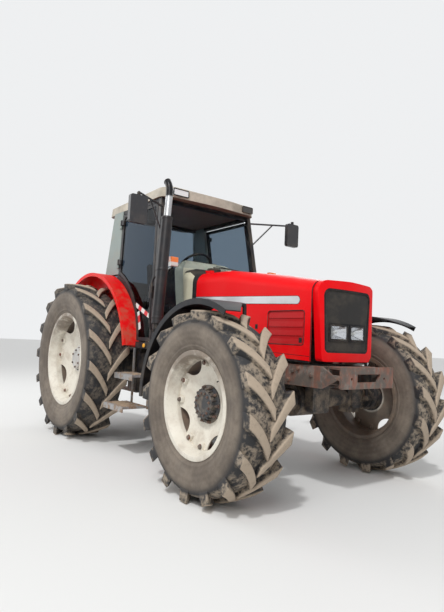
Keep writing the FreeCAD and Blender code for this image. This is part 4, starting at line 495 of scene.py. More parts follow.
@dataclass(frozen=True)
class RimFinish(Finish):
    """Cream rim paint with random brown staining, dark brown behind the disc as dirt and painted shade, and painted
    shade in the upper part of the barrel.
    """

    # Painted shade mixed with dirt: dark brown for the barrel behind the disc, standing in for the shade inside the
    # wheel.
    inner: Colour = (0.070, 0.048, 0.034)
    # Brown of real staining, also used as painted shade on the upper barrel and mixed into the dark brown behind the
    # disc.
    stain: Colour = (0.125, 0.090, 0.064)
    axle: tuple[float, float] = (0.0, 0.8)        # X and Z of the wheel's middle
    face: float = 0.9             # back of the disc from the middle plane, on the axle's line
    slope: float = 0.27           # how much the disc leans outwards
    edge: float = 0.3             # radius where the disc meets the barrel

    def paint(self, tree: bpy.types.NodeTree) -> bpy.types.NodeSocket:
        """Darken what lies behind the disc with dirt and painted shade, paint shade on the upper barrel before it,
        and add random brown staining.

        Args:
            tree: The material's tree.

        Returns:
            The colour's socket.
        """
        place = tree.nodes.new("ShaderNodeTexCoord").outputs["Object"]
        parts = tree.nodes.new("ShaderNodeSeparateXYZ")
        link(tree, place, parts.inputs[0])
        x = arithmetic(tree, "SUBTRACT", parts.outputs["X"], self.axle[0])
        z = arithmetic(tree, "SUBTRACT", parts.outputs["Z"], self.axle[1])
        reach = arithmetic(tree, "SQRT", arithmetic(tree, "ADD", arithmetic(tree, "MULTIPLY", x, x),
                                                    arithmetic(tree, "MULTIPLY", z, z)))
        out = arithmetic(tree, "ABSOLUTE", parts.outputs["Y"])
        depth = arithmetic(tree, "SUBTRACT", out, arithmetic(tree, "MULTIPLY", reach, self.slope))
        # Painted shade with dirt: surfaces behind the disc turn dark brown.
        behind = arithmetic(tree, "SUBTRACT", 1.0, ramp(tree, depth, self.face - 0.001, self.face + 0.007))
        patches = noise(tree, place, 6.5, 7.0, 0.7)
        # Painted shade: the upper part of the barrel near the disc is darkened brown, standing in for the shade under
        # the rim's top; random brown staining is added below.
        upper = arithmetic(tree, "MULTIPLY", ramp(tree, z, 0.02, self.edge),
                           ramp(tree, reach, self.edge - 0.05, self.edge + 0.005))
        stain_and_shade_mask = arithmetic(tree, "MULTIPLY", upper, ramp(tree, patches, 0.30, 0.55))
        stain_and_shade_mask = arithmetic(tree, "ADD", stain_and_shade_mask, arithmetic(tree, "MULTIPLY", ramp(tree, patches, 0.54, 0.76), 0.45),
                            clamp=True)
        base = blend_colour(tree, arithmetic(tree, "MULTIPLY", stain_and_shade_mask, 0.85), self.colour, self.stain)
        # Dark brown behind the disc, mottled: dirt and painted shade.
        dark = blend_colour(tree, ramp(tree, patches, 0.35, 0.65), self.inner, self.stain)
        return blend_colour(tree, arithmetic(tree, "MULTIPLY", behind, 0.94), base, dark)


@dataclass(frozen=True)
class CowlFinish(Finish):
    """Black cowl with cream side panels behind its front band."""

    panel: Colour = (0.62, 0.59, 0.44)
    band_x: float = 1.425         # ahead of the rear axle
    side_y: float = 0.325

    def paint(self, tree: bpy.types.NodeTree) -> bpy.types.NodeSocket:
        """Lay the cream on the sides behind the band.

        Args:
            tree: The material's tree.

        Returns:
            The colour's socket.
        """
        parts = tree.nodes.new("ShaderNodeSeparateXYZ")
        link(tree, tree.nodes.new("ShaderNodeTexCoord").outputs["Object"], parts.inputs[0])
        beside = arithmetic(tree, "GREATER_THAN", arithmetic(tree, "ABSOLUTE", parts.outputs["Y"]), self.side_y)
        back = arithmetic(tree, "LESS_THAN", parts.outputs["X"], self.band_x + REAR_AXLE_X)
        return blend_colour(tree, arithmetic(tree, "MULTIPLY", beside, back), self.colour, self.panel)


@dataclass(frozen=True)
class RoofFinish(Finish):
    """Weathered moulded roof: pale and blotched above, brown below."""

    below: Colour = (0.20, 0.11, 0.08)

    def paint(self, tree: bpy.types.NodeTree) -> bpy.types.NodeSocket:
        """Mix the pale top, its grey blotches and the brown underside.

        Args:
            tree: The material's tree.

        Returns:
            The colour's socket.
        """
        place = tree.nodes.new("ShaderNodeTexCoord").outputs["Object"]
        normal = tree.nodes.new("ShaderNodeSeparateXYZ")
        link(tree, tree.nodes.new("ShaderNodeNewGeometry").outputs["Normal"], normal.inputs[0])
        blotches = ramp(tree, noise(tree, place, 3.0, 8.0, 0.7), 0.35, 0.7)
        top = blend_colour(tree, blotches, self.colour, (0.30, 0.27, 0.22))
        return blend_colour(tree, ramp(tree, normal.outputs["Z"], -0.3, -0.7), top, self.below)


@dataclass(frozen=True)
class TyreFinish:
    """Rubber with tan dust on the lugs, grey-brown side walls and mud between the lugs."""

    name: str
    centre: Vector
    radius: float
    rubber: Colour = (0.022, 0.022, 0.024)
    wall: Colour = (0.120, 0.096, 0.076)
    dusty: Colour = (0.235, 0.195, 0.155)
    tan: Colour = (0.43, 0.345, 0.26)
    caked: float = 0.5            # share of dried mud between the lugs

    def build(self, groups: Groups) -> bpy.types.Material:
        """Make the material from the distance to the axle.

        Args:
            groups: The shared node groups.

        Returns:
            The material.
        """
        material, tree, shader = new_material(self.name)
        place = tree.nodes.new("ShaderNodeTexCoord").outputs["Object"]
        mapping = tree.nodes.new("ShaderNodeMapping")
        mapping.inputs["Location"].default_value = (-self.centre.x, 0.0, -self.centre.z)
        mapping.inputs["Scale"].default_value = (1.0, 0.0, 1.0)
        link(tree, place, mapping.inputs["Vector"])
        length = tree.nodes.new("ShaderNodeVectorMath")
        length.operation = "LENGTH"
        link(tree, mapping.outputs["Vector"], length.inputs[0])
        reach = length.outputs["Value"]
        broad = noise(tree, place, 7.0, 6.0, 0.65)
        fine = noise(tree, place, 34.0, 5.0, 0.6)
        wall_share = arithmetic(tree, "SUBTRACT", 1.0,
                                ramp(tree, reach, self.radius - 0.135, self.radius - 0.075))
        wall_share = arithmetic(tree, "MULTIPLY", wall_share,
                                arithmetic(tree, "ADD", 0.62, arithmetic(tree, "MULTIPLY", broad, 0.6)),
                                clamp=True)
        rings = arithmetic(tree, "SINE", arithmetic(tree, "MULTIPLY", reach, 160.0))
        worn = arithmetic(tree, "ADD", ramp(tree, noise(tree, place, 3.2, 8.0, 0.72), 0.34, 0.68),
                          arithmetic(tree, "MULTIPLY", rings, 0.07))
        wall = blend_colour(tree, worn, self.wall, self.dusty)
        base = blend_colour(tree, wall_share, self.rubber, wall)
        valley = ramp(tree, reach, self.radius - 0.085, self.radius - 0.060)
        mud = arithmetic(tree, "MULTIPLY", arithmetic(tree, "MULTIPLY", valley, ramp(tree, broad, 0.40, 0.54)),
                         ramp(tree, fine, 0.34, 0.58))
        base = blend_colour(tree, arithmetic(tree, "MULTIPLY", mud, self.caked), base, (0.33, 0.27, 0.205))
        top = ramp(tree, reach, self.radius - 0.020, self.radius - 0.006)
        top = arithmetic(tree, "MULTIPLY", top,
                         arithmetic(tree, "ADD", 0.55, arithmetic(tree, "MULTIPLY", fine, 0.9)), clamp=True)
        base = blend_colour(tree, top, base, self.tan)
        link(tree, base, shader.inputs["Base Color"])
        shade = arithmetic(tree, "ADD", 0.55, arithmetic(tree, "MULTIPLY", broad, 0.4), clamp=True)
        link(tree, shade, shader.inputs["Roughness"])
        grain = place_group(tree, groups.grain, {"Scale": 120.0, "Waves": 18.0, "Wave Share": 0.8})
        bump = tree.nodes.new("ShaderNodeBump")
        bump.inputs["Strength"].default_value = 0.5
        bump.inputs["Distance"].default_value = 0.002
        link(tree, grain.outputs["Height"], bump.inputs["Height"])
        link(tree, bump.outputs["Normal"], shader.inputs["Normal"])
        return material


@dataclass(frozen=True)
class GlassFinish:
    """Tinted pane that lets light through."""

    name: str
    tint: Colour
    roughness: float = 0.0
    bend: float = 1.09            # index of refraction, low so that panes mirror little

    def build(self, groups: Groups) -> bpy.types.Material:
        """Make the material.

        Args:
            groups: Unused here, the same call as for other finishes.

        Returns:
            The material.
        """
        material, _, shader = new_material(self.name)
        shader.inputs["Base Color"].default_value = (*self.tint, 1.0)
        shader.inputs["Roughness"].default_value = self.roughness
        shader.inputs["Transmission Weight"].default_value = 1.0
        shader.inputs["IOR"].default_value = self.bend
        return material


@dataclass(frozen=True)
class MeshFinish(Finish):
    """Perforated plate: round holes in rows, dark in their middles."""

    pitch: float = 0.0085
    hole: Colour = (0.008, 0.008, 0.009)

    def paint(self, tree: bpy.types.NodeTree) -> bpy.types.NodeSocket:
        """Draw rows of holes across Y and Z.

        Args:
            tree: The material's tree.

        Returns:
            The colour's socket.
        """
        parts = tree.nodes.new("ShaderNodeSeparateXYZ")
        link(tree, tree.nodes.new("ShaderNodeTexCoord").outputs["Object"], parts.inputs[0])
        turn = 2 * math.pi / self.pitch
        across = arithmetic(tree, "SINE", arithmetic(tree, "MULTIPLY", parts.outputs["Y"], turn))
        upward = arithmetic(tree, "SINE", arithmetic(tree, "MULTIPLY", parts.outputs["Z"], turn))
        holes = ramp(tree, arithmetic(tree, "MULTIPLY", across, upward), 0.05, 0.35)
        sheet = blend_colour(tree, holes, self.colour, self.hole)
        sideways = arithmetic(tree, "ABSOLUTE", parts.outputs["Y"])
        height = parts.outputs["Z"]
        lamp = arithmetic(tree, "LESS_THAN", sideways, 0.2132)
        for operation, level in (("GREATER_THAN", 1.1518), ("LESS_THAN", 1.2882)):
            lamp = arithmetic(tree, "MULTIPLY", lamp, arithmetic(tree, operation, height, level))
        slant = arithmetic(tree, "SUBTRACT", sideways, arithmetic(tree, "MULTIPLY", height, 0.0545))
        border = arithmetic(tree, "GREATER_THAN", slant, 0.1778)
        for operation, level in (("GREATER_THAN", 1.529), ("LESS_THAN", 1.084)):
            border = arithmetic(tree, "MAXIMUM", border, arithmetic(tree, operation, height, level))
        return blend_colour(tree, arithmetic(tree, "MAXIMUM", lamp, border), sheet, (0.014, 0.014, 0.016))


@dataclass(frozen=True)
class DashFinish(Finish):
    """Reflecting band with red fields on white."""

    red: Colour = (0.62, 0.02, 0.03)
    along: tuple[float, float] = (1.0, 0.0)       # direction of the band in X and Z
    pitch: float = 0.1

    def paint(self, tree: bpy.types.NodeTree) -> bpy.types.NodeSocket:
        """Change between white and red along the band.

        Args:
            tree: The material's tree.

        Returns:
            The colour's socket.
        """
        parts = tree.nodes.new("ShaderNodeSeparateXYZ")
        link(tree, tree.nodes.new("ShaderNodeTexCoord").outputs["Object"], parts.inputs[0])
        reach = arithmetic(tree, "ADD", arithmetic(tree, "MULTIPLY", parts.outputs["X"], self.along[0]),
                           arithmetic(tree, "MULTIPLY", parts.outputs["Z"], self.along[1]))
        wave = arithmetic(tree, "FRACT", arithmetic(tree, "DIVIDE", reach, self.pitch))
        return blend_colour(tree, ramp(tree, wave, 0.49, 0.51, False), self.colour, self.red)


@dataclass(frozen=True)
class SignalFinish(Finish):
    """Lamp blocks: amber over clear on their black stalks, and red at the rear."""

    def paint(self, tree: bpy.types.NodeTree) -> bpy.types.NodeSocket:
        """Choose the colour by height and by end of the tractor.

        Args:
            tree: The material's tree.

        Returns:
            The colour's socket.
        """
        parts = tree.nodes.new("ShaderNodeSeparateXYZ")
        link(tree, tree.nodes.new("ShaderNodeTexCoord").outputs["Object"], parts.inputs[0])
        x, z = parts.outputs["X"], parts.outputs["Z"]
        low = blend_colour(tree, ramp(tree, z, 1.789, 1.791, False), (0.02, 0.02, 0.022),
                           (0.72, 0.70, 0.66))
        front = blend_colour(tree, ramp(tree, z, 1.829, 1.831, False), low, self.colour)
        return blend_colour(tree, ramp(tree, x, REAR_AXLE_X - 0.2, REAR_AXLE_X - 0.1, False), (0.42, 0.01, 0.012),
                            front)


REAR_TONE_X = REAR_AXLE_X + 0.60

FINISHES = [
    # Hood red, with painted shade in the louvre recesses.
    HoodFinish("red_paint", (0.86, 0.003, 0.007), 0.36, amount=0.03, scale=5.0, mud=0.18,
               mud_height=1.25, grain_height=0.0, shine=0.13),
    Finish("red_fender", (0.86, 0.003, 0.007), 0.40, amount=0.36, scale=11.0, mud=0.5,
           mud_height=1.9, settled=0.03, dust=(0.33, 0.20, 0.12), grain_height=0.0, shine=0.13),
    Finish("drive_black", (0.028, 0.028, 0.031), 0.55, amount=0.5, scale=9.0, mud=0.5, mud_height=1.0,
           settled=0.45),
    Finish("worn_steel", (0.105, 0.088, 0.076), 0.66, amount=0.30, scale=14.0, mud=0.3, rust=0.9,
           rust_edge=0.7, settled=0.1, dust=(0.24, 0.165, 0.115), grain_height=0.0008),
    TwoTone("post_paint", (0.21, 0.255, 0.24), 0.42, amount=0.22, scale=7.0, second=(0.018, 0.019, 0.022),
            axis=0, edge=REAR_TONE_X, shine=0.3),
    Finish("trim_black", (0.015, 0.015, 0.018), 0.5, amount=0.13, scale=8.0, settled=0.15, mud=0.3,
           shine=0.25),
    RoofFinish("roof_grey", (0.56, 0.50, 0.41), 0.55, amount=0.35, scale=4.0, settled=0.15,
               dust=(0.36, 0.30, 0.22), grain_height=0.0006),
    GlassFinish("window_glass", (0.17, 0.22, 0.27)),
    GlassFinish("screen_glass", (0.78, 0.82, 0.85)),
    Finish("step_metal", (0.42, 0.43, 0.44), 0.4, metallic=0.8, amount=0.85, scale=16.0, mud=0.8,
           settled=0.9, dust=(0.36, 0.25, 0.17)),
    Finish("exhaust_black", (0.013, 0.013, 0.015), 0.38, amount=0.07, scale=9.0, rust=0.03,
           rust_edge=0.1, dust=(0.16, 0.14, 0.12), shine=0.3),
    Finish("pipe_metal", (0.60, 0.60, 0.60), 0.24, metallic=1.0, amount=0.12, scale=12.0,
           grain_height=0.0002),
    TwoTone("pipe_stack", (0.46, 0.47, 0.48), 0.32, metallic=0.7, amount=0.15, scale=12.0,
            second=(0.012, 0.012, 0.014), axis=2, edge=2.455, low_edge=2.0, soft=0.012),
    Finish("seat_cloth", (0.045, 0.045, 0.052), 0.85, amount=0.25, settled=0.1, grain_scale=900.0,
           grain_height=0.0012),
    Finish("cream_plastic", (0.74, 0.72, 0.56), 0.5, amount=0.2, scale=10.0, settled=0.1),
    # Work lamps: white, with the left lamp painted near-black as the painted shade of a dark recess.
    TwoTone("lamp_white", (0.84, 0.85, 0.86), 0.18, amount=0.06, coat=0.4, grain_height=0.0,
            second=(0.030, 0.028, 0.026), axis=1, edge=0.0),
    SignalFinish("lamp_signal", (0.90, 0.20, 0.015), 0.2, amount=0.08, coat=0.6, grain_height=0.0),
    MeshFinish("grille_grey", (0.046, 0.044, 0.042), 0.6, amount=0.10, scale=5.0, shine=0.15),
    GlassFinish("lamp_glass", (0.93, 0.95, 0.97), 0.03),
    Finish("fender_black", (0.012, 0.013, 0.016), 0.5, amount=0.10, scale=9.0, mud=0.5, mud_height=1.1,
           settled=0.0, dust=(0.20, 0.15, 0.11), shine=0.25),
    Finish("link_paint", (0.06, 0.06, 0.065), 0.5, amount=0.4, scale=12.0, rust=0.35, rust_edge=0.45,
           mud=0.4),
    # Rim paint with painted shade behind the disc and in the upper barrel, and real dust and rust.
    RimFinish("rim_front", (0.72, 0.68, 0.59), 0.45, amount=0.40, scale=8.0, dust=(0.30, 0.21, 0.14),
              rust=0.06, rust_edge=0.12, axle=(REAR_AXLE_X + 2.600, 0.667), face=0.885, slope=0.286, edge=0.317),
    RimFinish("rim_rear", (0.72, 0.68, 0.59), 0.45, amount=0.40, scale=8.0, dust=(0.30, 0.21, 0.14),
              rust=0.06, rust_edge=0.12, axle=(REAR_AXLE_X, 0.838), face=0.809, slope=0.262, edge=0.444),
    CowlFinish("cowl_black", (0.014, 0.014, 0.016), 0.5, amount=0.12, scale=8.0, settled=0.02, shine=0.25),
    Finish("mirror_case", (0.035, 0.036, 0.040), 0.32, amount=0.08, scale=7.0, shine=0.4),
    Finish("hub_black", (0.028, 0.030, 0.034), 0.40, amount=0.45, scale=14.0, rust_edge=0.25),
    Finish("hub_pale", (0.50, 0.50, 0.49), 0.45, amount=0.45, scale=14.0, rust=0.12, rust_edge=0.25),
    Finish("bolt_rust", (0.13, 0.10, 0.085), 0.62, metallic=0.3, amount=0.4, scale=20.0, rust=0.8,
           rust_edge=0.6),
    Finish("bolt_dark", (0.09, 0.085, 0.08), 0.5, metallic=0.5, amount=0.4, scale=20.0, rust=0.3,
           rust_edge=0.5),
    Finish("stripe_silver", (0.56, 0.57, 0.59), 0.28, metallic=0.6, amount=0.18, scale=6.0,
           grain_scale=900.0, grain_height=0.0001),
    Finish("seal_black", (0.012, 0.012, 0.014), 0.55, amount=0.2, scale=10.0, settled=0.08, shine=0.3),
    Finish("mirror_metal", (0.62, 0.63, 0.65), 0.07, metallic=1.0, amount=0.06, scale=9.0,
           grain_height=0.0),
    GlassFinish("lens_clear", (0.97, 0.98, 0.99), 0.015, 1.40),
    Finish("bulb_white", (0.88, 0.88, 0.84), 0.25, amount=0.03, coat=0.5, grain_height=0.0),
    Finish("marker_amber", (0.90, 0.42, 0.02), 0.2, amount=0.12, coat=0.6, glow=0.05, grain_height=0.0),
    DashFinish("band_long", (0.72, 0.72, 0.70), 0.4, amount=0.2, scale=20.0, along=(0.93, -0.36),
               pitch=0.145),
    DashFinish("band_short", (0.72, 0.72, 0.70), 0.4, amount=0.2, scale=20.0, along=(0.40, -0.92),
               pitch=0.150),
    Finish("dial_grey", (0.10, 0.10, 0.11), 0.3, amount=0.1, coat=0.4),
    Finish("dried_mud", (0.34, 0.245, 0.165), 0.92, amount=0.5, scale=18.0, dust=(0.46, 0.36, 0.26),
           grain_scale=160.0, grain_height=0.004),
    Finish("soot", (0.006, 0.006, 0.006), 0.95, amount=0.1, grain_height=0.001),
    Finish("cap_blue", (0.02, 0.09, 0.34), 0.45, amount=0.35, scale=14.0),
    Finish("cap_red", (0.55, 0.02, 0.02), 0.45, amount=0.35, scale=14.0),
]

NODE_FINISHES = {
    "engine_block": "drive_black", "radiator": "drive_black", "gearbox_housing": "drive_black",
    "rear_axle": "drive_black", "drawbar": "worn_steel", "driveshaft": "drive_black",
    "front_frame": "drive_black", "front_plate": "worn_steel", "front_axle": "drive_black",
    "cab_posts": "post_paint", "cab_sills": "trim_black", "roof_rails": "trim_black",
    "cab_floor": "trim_black", "rear_wall": "trim_black", "cab_roof": "roof_grey",
    "windscreen": "screen_glass", "rear_window": "window_glass", "cowl": "cowl_black",
    "rear_fenders": "red_fender", "steps": "step_metal", "side_tanks": "trim_black",
    "exhaust_sleeve": "exhaust_black", "exhaust_pipe": "pipe_stack", "seat_base": "trim_black",
    "seat_cushion": "seat_cloth", "seat_backrest": "seat_cloth", "dashboard": "cream_plastic",
    "steering_wheel": "trim_black", "side_console": "cream_plastic", "mirrors": "mirror_case",
    "work_lamps": "lamp_white", "signal_lamps": "lamp_signal", "hood": "red_paint",
    "nose": "red_paint", "grille": "grille_grey", "headlamps": "lamp_glass",
    "door_left": "trim_black", "door_right": "trim_black", "door_glass_left": "window_glass",
    "door_glass_right": "window_glass", "knuckle_left": "drive_black", "knuckle_right": "drive_black",
    "front_fender_left": "fender_black", "front_fender_right": "fender_black",
    "track_rods": "pipe_metal", "lower_links": "link_paint", "lift_arms": "link_paint",
    "lift_rods": "link_paint", "top_link": "link_paint",
    "rim_front_left": "rim_front", "rim_front_right": "rim_front", "rim_rear_left": "rim_rear",
    "rim_rear_right": "rim_rear", "tyre_front_left": "tyre_front", "tyre_front_right": "tyre_front",
    "tyre_rear_left": "tyre_rear", "tyre_rear_right": "tyre_rear",
}


@dataclass
class Paintshop:
    """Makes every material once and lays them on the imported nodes."""

    groups: Groups = field(default_factory=Groups)
    materials: dict[str, bpy.types.Material] = field(default_factory=dict)

    def mix(self) -> None:
        """Make all the materials."""
        finishes = list(FINISHES)
        for end in ("front", "rear"):
            node = "tyre_%s_left" % end
            low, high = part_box(node)
            finishes.append(TyreFinish("tyre_" + end, node_centre(node), (high.z - low.z) / 2,
                                       caked=0.9 if end == "front" else 0.35))
        for finish in finishes:
            self.materials[finish.name] = finish.build(self.groups)
        LOG.info("%d finishes", len(self.materials))

    def dress_nodes(self) -> None:
        """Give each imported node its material."""
        for node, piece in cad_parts.items():
            self.coat(piece, NODE_FINISHES[node])
        LOG.info("%d packed nodes dressed", len(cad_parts))

    def coat(self, piece: bpy.types.Object, finish: str) -> None:
        """Lay one material all over a piece.

        Args:
            piece: The piece.
            finish: Name of the finish.
        """
        piece.data.materials.clear()
        piece.data.materials.append(self.materials[finish])


# Bench work: pieces are started, shaped in edit mode, copied and finished

Outline = list[tuple[float, float]]
FaceTest = Callable[[Vector, Vector], bool]
MIRROR = Matrix.Scale(-1.0, 4, Vector((0.0, 1.0, 0.0)))


def deselect() -> None:
    """Leave nothing selected."""
    bpy.ops.object.select_all(action="DESELECT")


def activate(piece: bpy.types.Object) -> None:
    """Select one piece and make it the active one."""
    deselect()
    piece.select_set(True)
    bpy.context.view_layer.objects.active = piece


def settle(piece: bpy.types.Object) -> None:
    """Put a piece's place, turn and size into its mesh."""
    activate(piece)
    bpy.ops.object.transform_apply(location=True, rotation=True, scale=True)


@contextmanager
def editing(piece: bpy.types.Object, kind: str = "FACE") -> Iterator[None]:
    """Open a piece in edit mode with nothing selected, and close it again.

    Args:
        piece: The piece.
        kind: What is selected, VERT, EDGE or FACE.

    Yields:
        Nothing.
    """
    activate(piece)
    bpy.ops.object.mode_set(mode="EDIT")
    bpy.ops.mesh.select_mode(type=kind)
    bpy.ops.mesh.select_all(action="DESELECT")
    yield
    bpy.ops.object.mode_set(mode="OBJECT")


def pick(piece: bpy.types.Object, test: FaceTest) -> None:
    """Select the faces whose middle and normal pass a test, in edit mode.

    Args:
        piece: The piece in edit mode.
        test: Takes a face's middle and normal.
    """
    mesh = bmesh.from_edit_mesh(piece.data)
    for face in mesh.faces:
        face.select_set(test(face.calc_center_median(), face.normal))
    bmesh.update_edit_mesh(piece.data)


def start_cube(name: str, low: Vector, high: Vector) -> bpy.types.Object:
    """Start a piece from a block between two corners.

    Args:
        name: Name of the piece.
        low: Lowest corner.
        high: Highest corner.

    Returns:
        The piece.
    """
    deselect()
    bpy.ops.mesh.primitive_cube_add(size=1.0)
    piece = bpy.context.object
    piece.name = name
    piece.scale = high - low
    piece.location = (low + high) / 2
    settle(piece)
    return piece


def start_rod(name: str, start: Vector, end: Vector, radius: float, sides: int = 24,
              tip: float | None = None) -> bpy.types.Object:
    """Start a piece from a round bar or cone between two points.

    Args:
        name: Name of the piece.
        start: Middle of the first end.
        end: Middle of the second end.
        radius: Radius at the start.
        sides: Sides round the bar.
        tip: Radius at the end, the same as at the start if left out.

    Returns:
        The piece.
    """
    deselect()
    bpy.ops.mesh.primitive_cone_add(vertices=sides, radius1=radius, radius2=radius if tip is None else tip,
                                    depth=(end - start).length)
    piece = bpy.context.object
    piece.name = name
    piece.rotation_euler = (end - start).to_track_quat("Z", "Y").to_euler()
    piece.location = (start + end) / 2
    settle(piece)
    return piece


def start_ring(name: str, centre: Vector, axis: Vector, radius: float, thick: float, sides: int = 64,
               section: int = 10) -> bpy.types.Object:
    """Start a piece from a round ring.

    Args:
        name: Name of the piece.
        centre: Middle of the ring.
        axis: Direction through the ring.
        radius: Radius to the middle of the wire.
        thick: Radius of the wire.
        sides: Steps round the ring.
        section: Steps round the wire.

    Returns:
        The piece.
    """
    deselect()
    bpy.ops.mesh.primitive_torus_add(major_radius=radius, minor_radius=thick, major_segments=sides,
                                     minor_segments=section)
    piece = bpy.context.object
    piece.name = name
    piece.rotation_euler = axis.to_track_quat("Z", "Y").to_euler()
    piece.location = centre
    settle(piece)
    return piece


def start_line(name: str, points: list[Vector], closed: bool = False) -> bpy.types.Object:
    """Draw a chain of edges by pulling a point from place to place.

    Args:
        name: Name of the piece.
        points: The chain's points.
        closed: Join the last point to the first.

    Returns:
        The piece, edges only.
    """
    deselect()
    bpy.ops.mesh.primitive_plane_add(size=0.001)
    piece = bpy.context.object
    piece.name = name
    piece.location = points[0]
    settle(piece)
    with editing(piece, "VERT"):
        bpy.ops.mesh.select_all(action="SELECT")
        bpy.ops.mesh.merge(type="CENTER")
        ends = points[1:] + points[:1] if closed else points[1:]
        for here, there in zip(points, ends):
            bpy.ops.mesh.extrude_region_move(TRANSFORM_OT_translate={"value": there - here})
        bpy.ops.mesh.select_all(action="SELECT")
        bpy.ops.mesh.remove_doubles(threshold=0.00002)
    return piece


def start_plate(name: str, outline: list[Vector], depth: Vector) -> bpy.types.Object:
    """Start a piece from a closed outline with a thickness.

    Args:
        name: Name of the piece.
        outline: Corners of the outline.
        depth: Direction and thickness.

    Returns:
        The piece.
    """
    piece = start_line(name, outline, True)
    with editing(piece, "VERT"):
        bpy.ops.mesh.select_all(action="SELECT")
        bpy.ops.mesh.edge_face_add()
        bpy.ops.mesh.extrude_region_move(TRANSFORM_OT_translate={"value": depth})
        bpy.ops.mesh.select_all(action="SELECT")
        bpy.ops.mesh.normals_make_consistent(inside=False)
    return piece


def start_band(name: str, points: list[Vector], across: Vector, thick: float) -> bpy.types.Object:
    """Start a strip that follows a chain of points.

    Args:
        name: Name of the piece.
        points: The chain.
        across: Direction and width of the strip.
        thick: Thickness, to both sides of the chain.

    Returns:
        The piece.
    """
    piece = start_line(name, points)
    with editing(piece, "VERT"):
        bpy.ops.mesh.select_all(action="SELECT")
        bpy.ops.mesh.extrude_region_move(TRANSFORM_OT_translate={"value": across})
    thicken(piece, thick, 0.0)
    return piece


def start_sheet(name: str, columns: int, rows: int, place: Callable[[float, float], Vector],
                thick: float) -> bpy.types.Object:
    """Start a piece from a grid laid over a surface.

    Args:
        name: Name of the piece.
        columns: Steps along the first share.
        rows: Steps along the second share.
        place: Turns the two shares, 0 to 1, into a point.
        thick: Thickness, to the side that the grid faces.

    Returns:
        The piece.
    """
    deselect()
    bpy.ops.mesh.primitive_grid_add(x_subdivisions=columns, y_subdivisions=rows, size=1.0)
    piece = bpy.context.object
    piece.name = name
    for vertex in piece.data.vertices:
        vertex.co = place(min(max(vertex.co.x + 0.5, 0.0), 1.0), min(max(vertex.co.y + 0.5, 0.0), 1.0))
    if thick > 0:
        thicken(piece, thick, 1.0)
    return piece


def start_tube(name: str, points: list[Vector], radius: float, closed: bool = False,
               straight: bool = False) -> bpy.types.Object:
    """Start a bent tube along points.

    Args:
        name: Name of the piece.
        points: Control points of the tube's line.
        radius: Radius of the tube.
        closed: Join the ends.
        straight: Run straight from point to point, else smoothly near them.

    Returns:
        The piece, as a mesh.
    """
    curve = bpy.data.curves.new(name, "CURVE")
    curve.dimensions = "3D"
    curve.bevel_depth = radius
    curve.bevel_resolution = 3
    curve.use_fill_caps = not closed
    curve.resolution_u = 6
    spline = curve.splines.new("POLY" if straight else "NURBS")
    spline.points.add(len(points) - 1)
    for knot, point in zip(spline.points, points):
        knot.co = (*point, 1.0)
    if not straight:
        spline.order_u = 3
        spline.use_endpoint_u = not closed
    spline.use_cyclic_u = closed
    piece = bpy.data.objects.new(name, curve)
    bpy.context.scene.collection.objects.link(piece)
    activate(piece)
    bpy.ops.object.convert(target="MESH")
    return bpy.context.object


def apply_modifier(piece: bpy.types.Object, kind: str, **settings: object) -> None:
    """Add a modifier and apply it.

    Args:
        piece: The piece.
        kind: The modifier's type.
        settings: Its settings.
    """
    modifier = piece.modifiers.new(kind.lower(), kind)
    for label, value in settings.items():
        setattr(modifier, label, value)
    activate(piece)
    bpy.ops.object.modifier_apply(modifier=modifier.name)


def thicken(piece: bpy.types.Object, thick: float, offset: float) -> None:
    """Give a sheet its thickness.

    Args:
        piece: The sheet.
        thick: Thickness.
        offset: 1 outwards, 0 to both sides, -1 inwards.
    """
    apply_modifier(piece, "SOLIDIFY", thickness=thick, offset=offset)
    face_outwards(piece)


def face_outwards(piece: bpy.types.Object) -> None:
    """Merge doubles and turn every face outwards."""
    with editing(piece, "VERT"):
        bpy.ops.mesh.select_all(action="SELECT")
        bpy.ops.mesh.remove_doubles(threshold=0.00002)
        bpy.ops.mesh.normals_make_consistent(inside=False)


def spin_round(piece: bpy.types.Object, centre: Vector, steps: int) -> None:
    """Turn a drawn profile about the Y axis through a point.

    Args:
        piece: The profile.
        centre: Point on the axis.
        steps: Steps round the axis.
    """
    with editing(piece, "VERT"):
        bpy.ops.mesh.select_all(action="SELECT")
        bpy.ops.mesh.spin(steps=steps, angle=2 * math.pi, center=centre, axis=(0.0, 1.0, 0.0))
    face_outwards(piece)


def cut(piece: bpy.types.Object, cutter: bpy.types.Object) -> None:
    """Cut one piece out of another and drop the cutter.

    Args:
        piece: The piece that is cut.
        cutter: The shape that goes.
    """
    apply_modifier(piece, "BOOLEAN", operation="DIFFERENCE", object=cutter, solver="EXACT")
    bpy.data.objects.remove(cutter)


def copied(piece: bpy.types.Object, name: str, matrix: Matrix) -> bpy.types.Object:
    """Copy a piece with its own mesh, moved by a matrix.

    Args:
        piece: The piece.
        name: Name of the copy.
        matrix: Where the copy goes.

    Returns:
        The copy.
    """
    twin = piece.copy()
    twin.data = piece.data.copy()
    twin.name = name
    bpy.context.scene.collection.objects.link(twin)
    twin.data.transform(matrix)
    if matrix.determinant() < 0:
        twin.data.flip_normals()
    return twin


def turn_y(centre: Vector, angle: float) -> Matrix:
    """Turn about the Y axis through a point, from X towards Z."""
    return Matrix.Translation(centre) @ Matrix.Rotation(-angle, 4, "Y") @ Matrix.Translation(-centre)


def joined(name: str, pieces: list[bpy.types.Object]) -> bpy.types.Object:
    """Make several pieces one.

    Args:
        name: Name of the whole.
        pieces: The pieces.

    Returns:
        The whole.
    """
    deselect()
    for piece in pieces:
        piece.select_set(True)
    bpy.context.view_layer.objects.active = pieces[0]
    if len(pieces) > 1:
        bpy.ops.object.join()
    pieces[0].name = name
    return pieces[0]


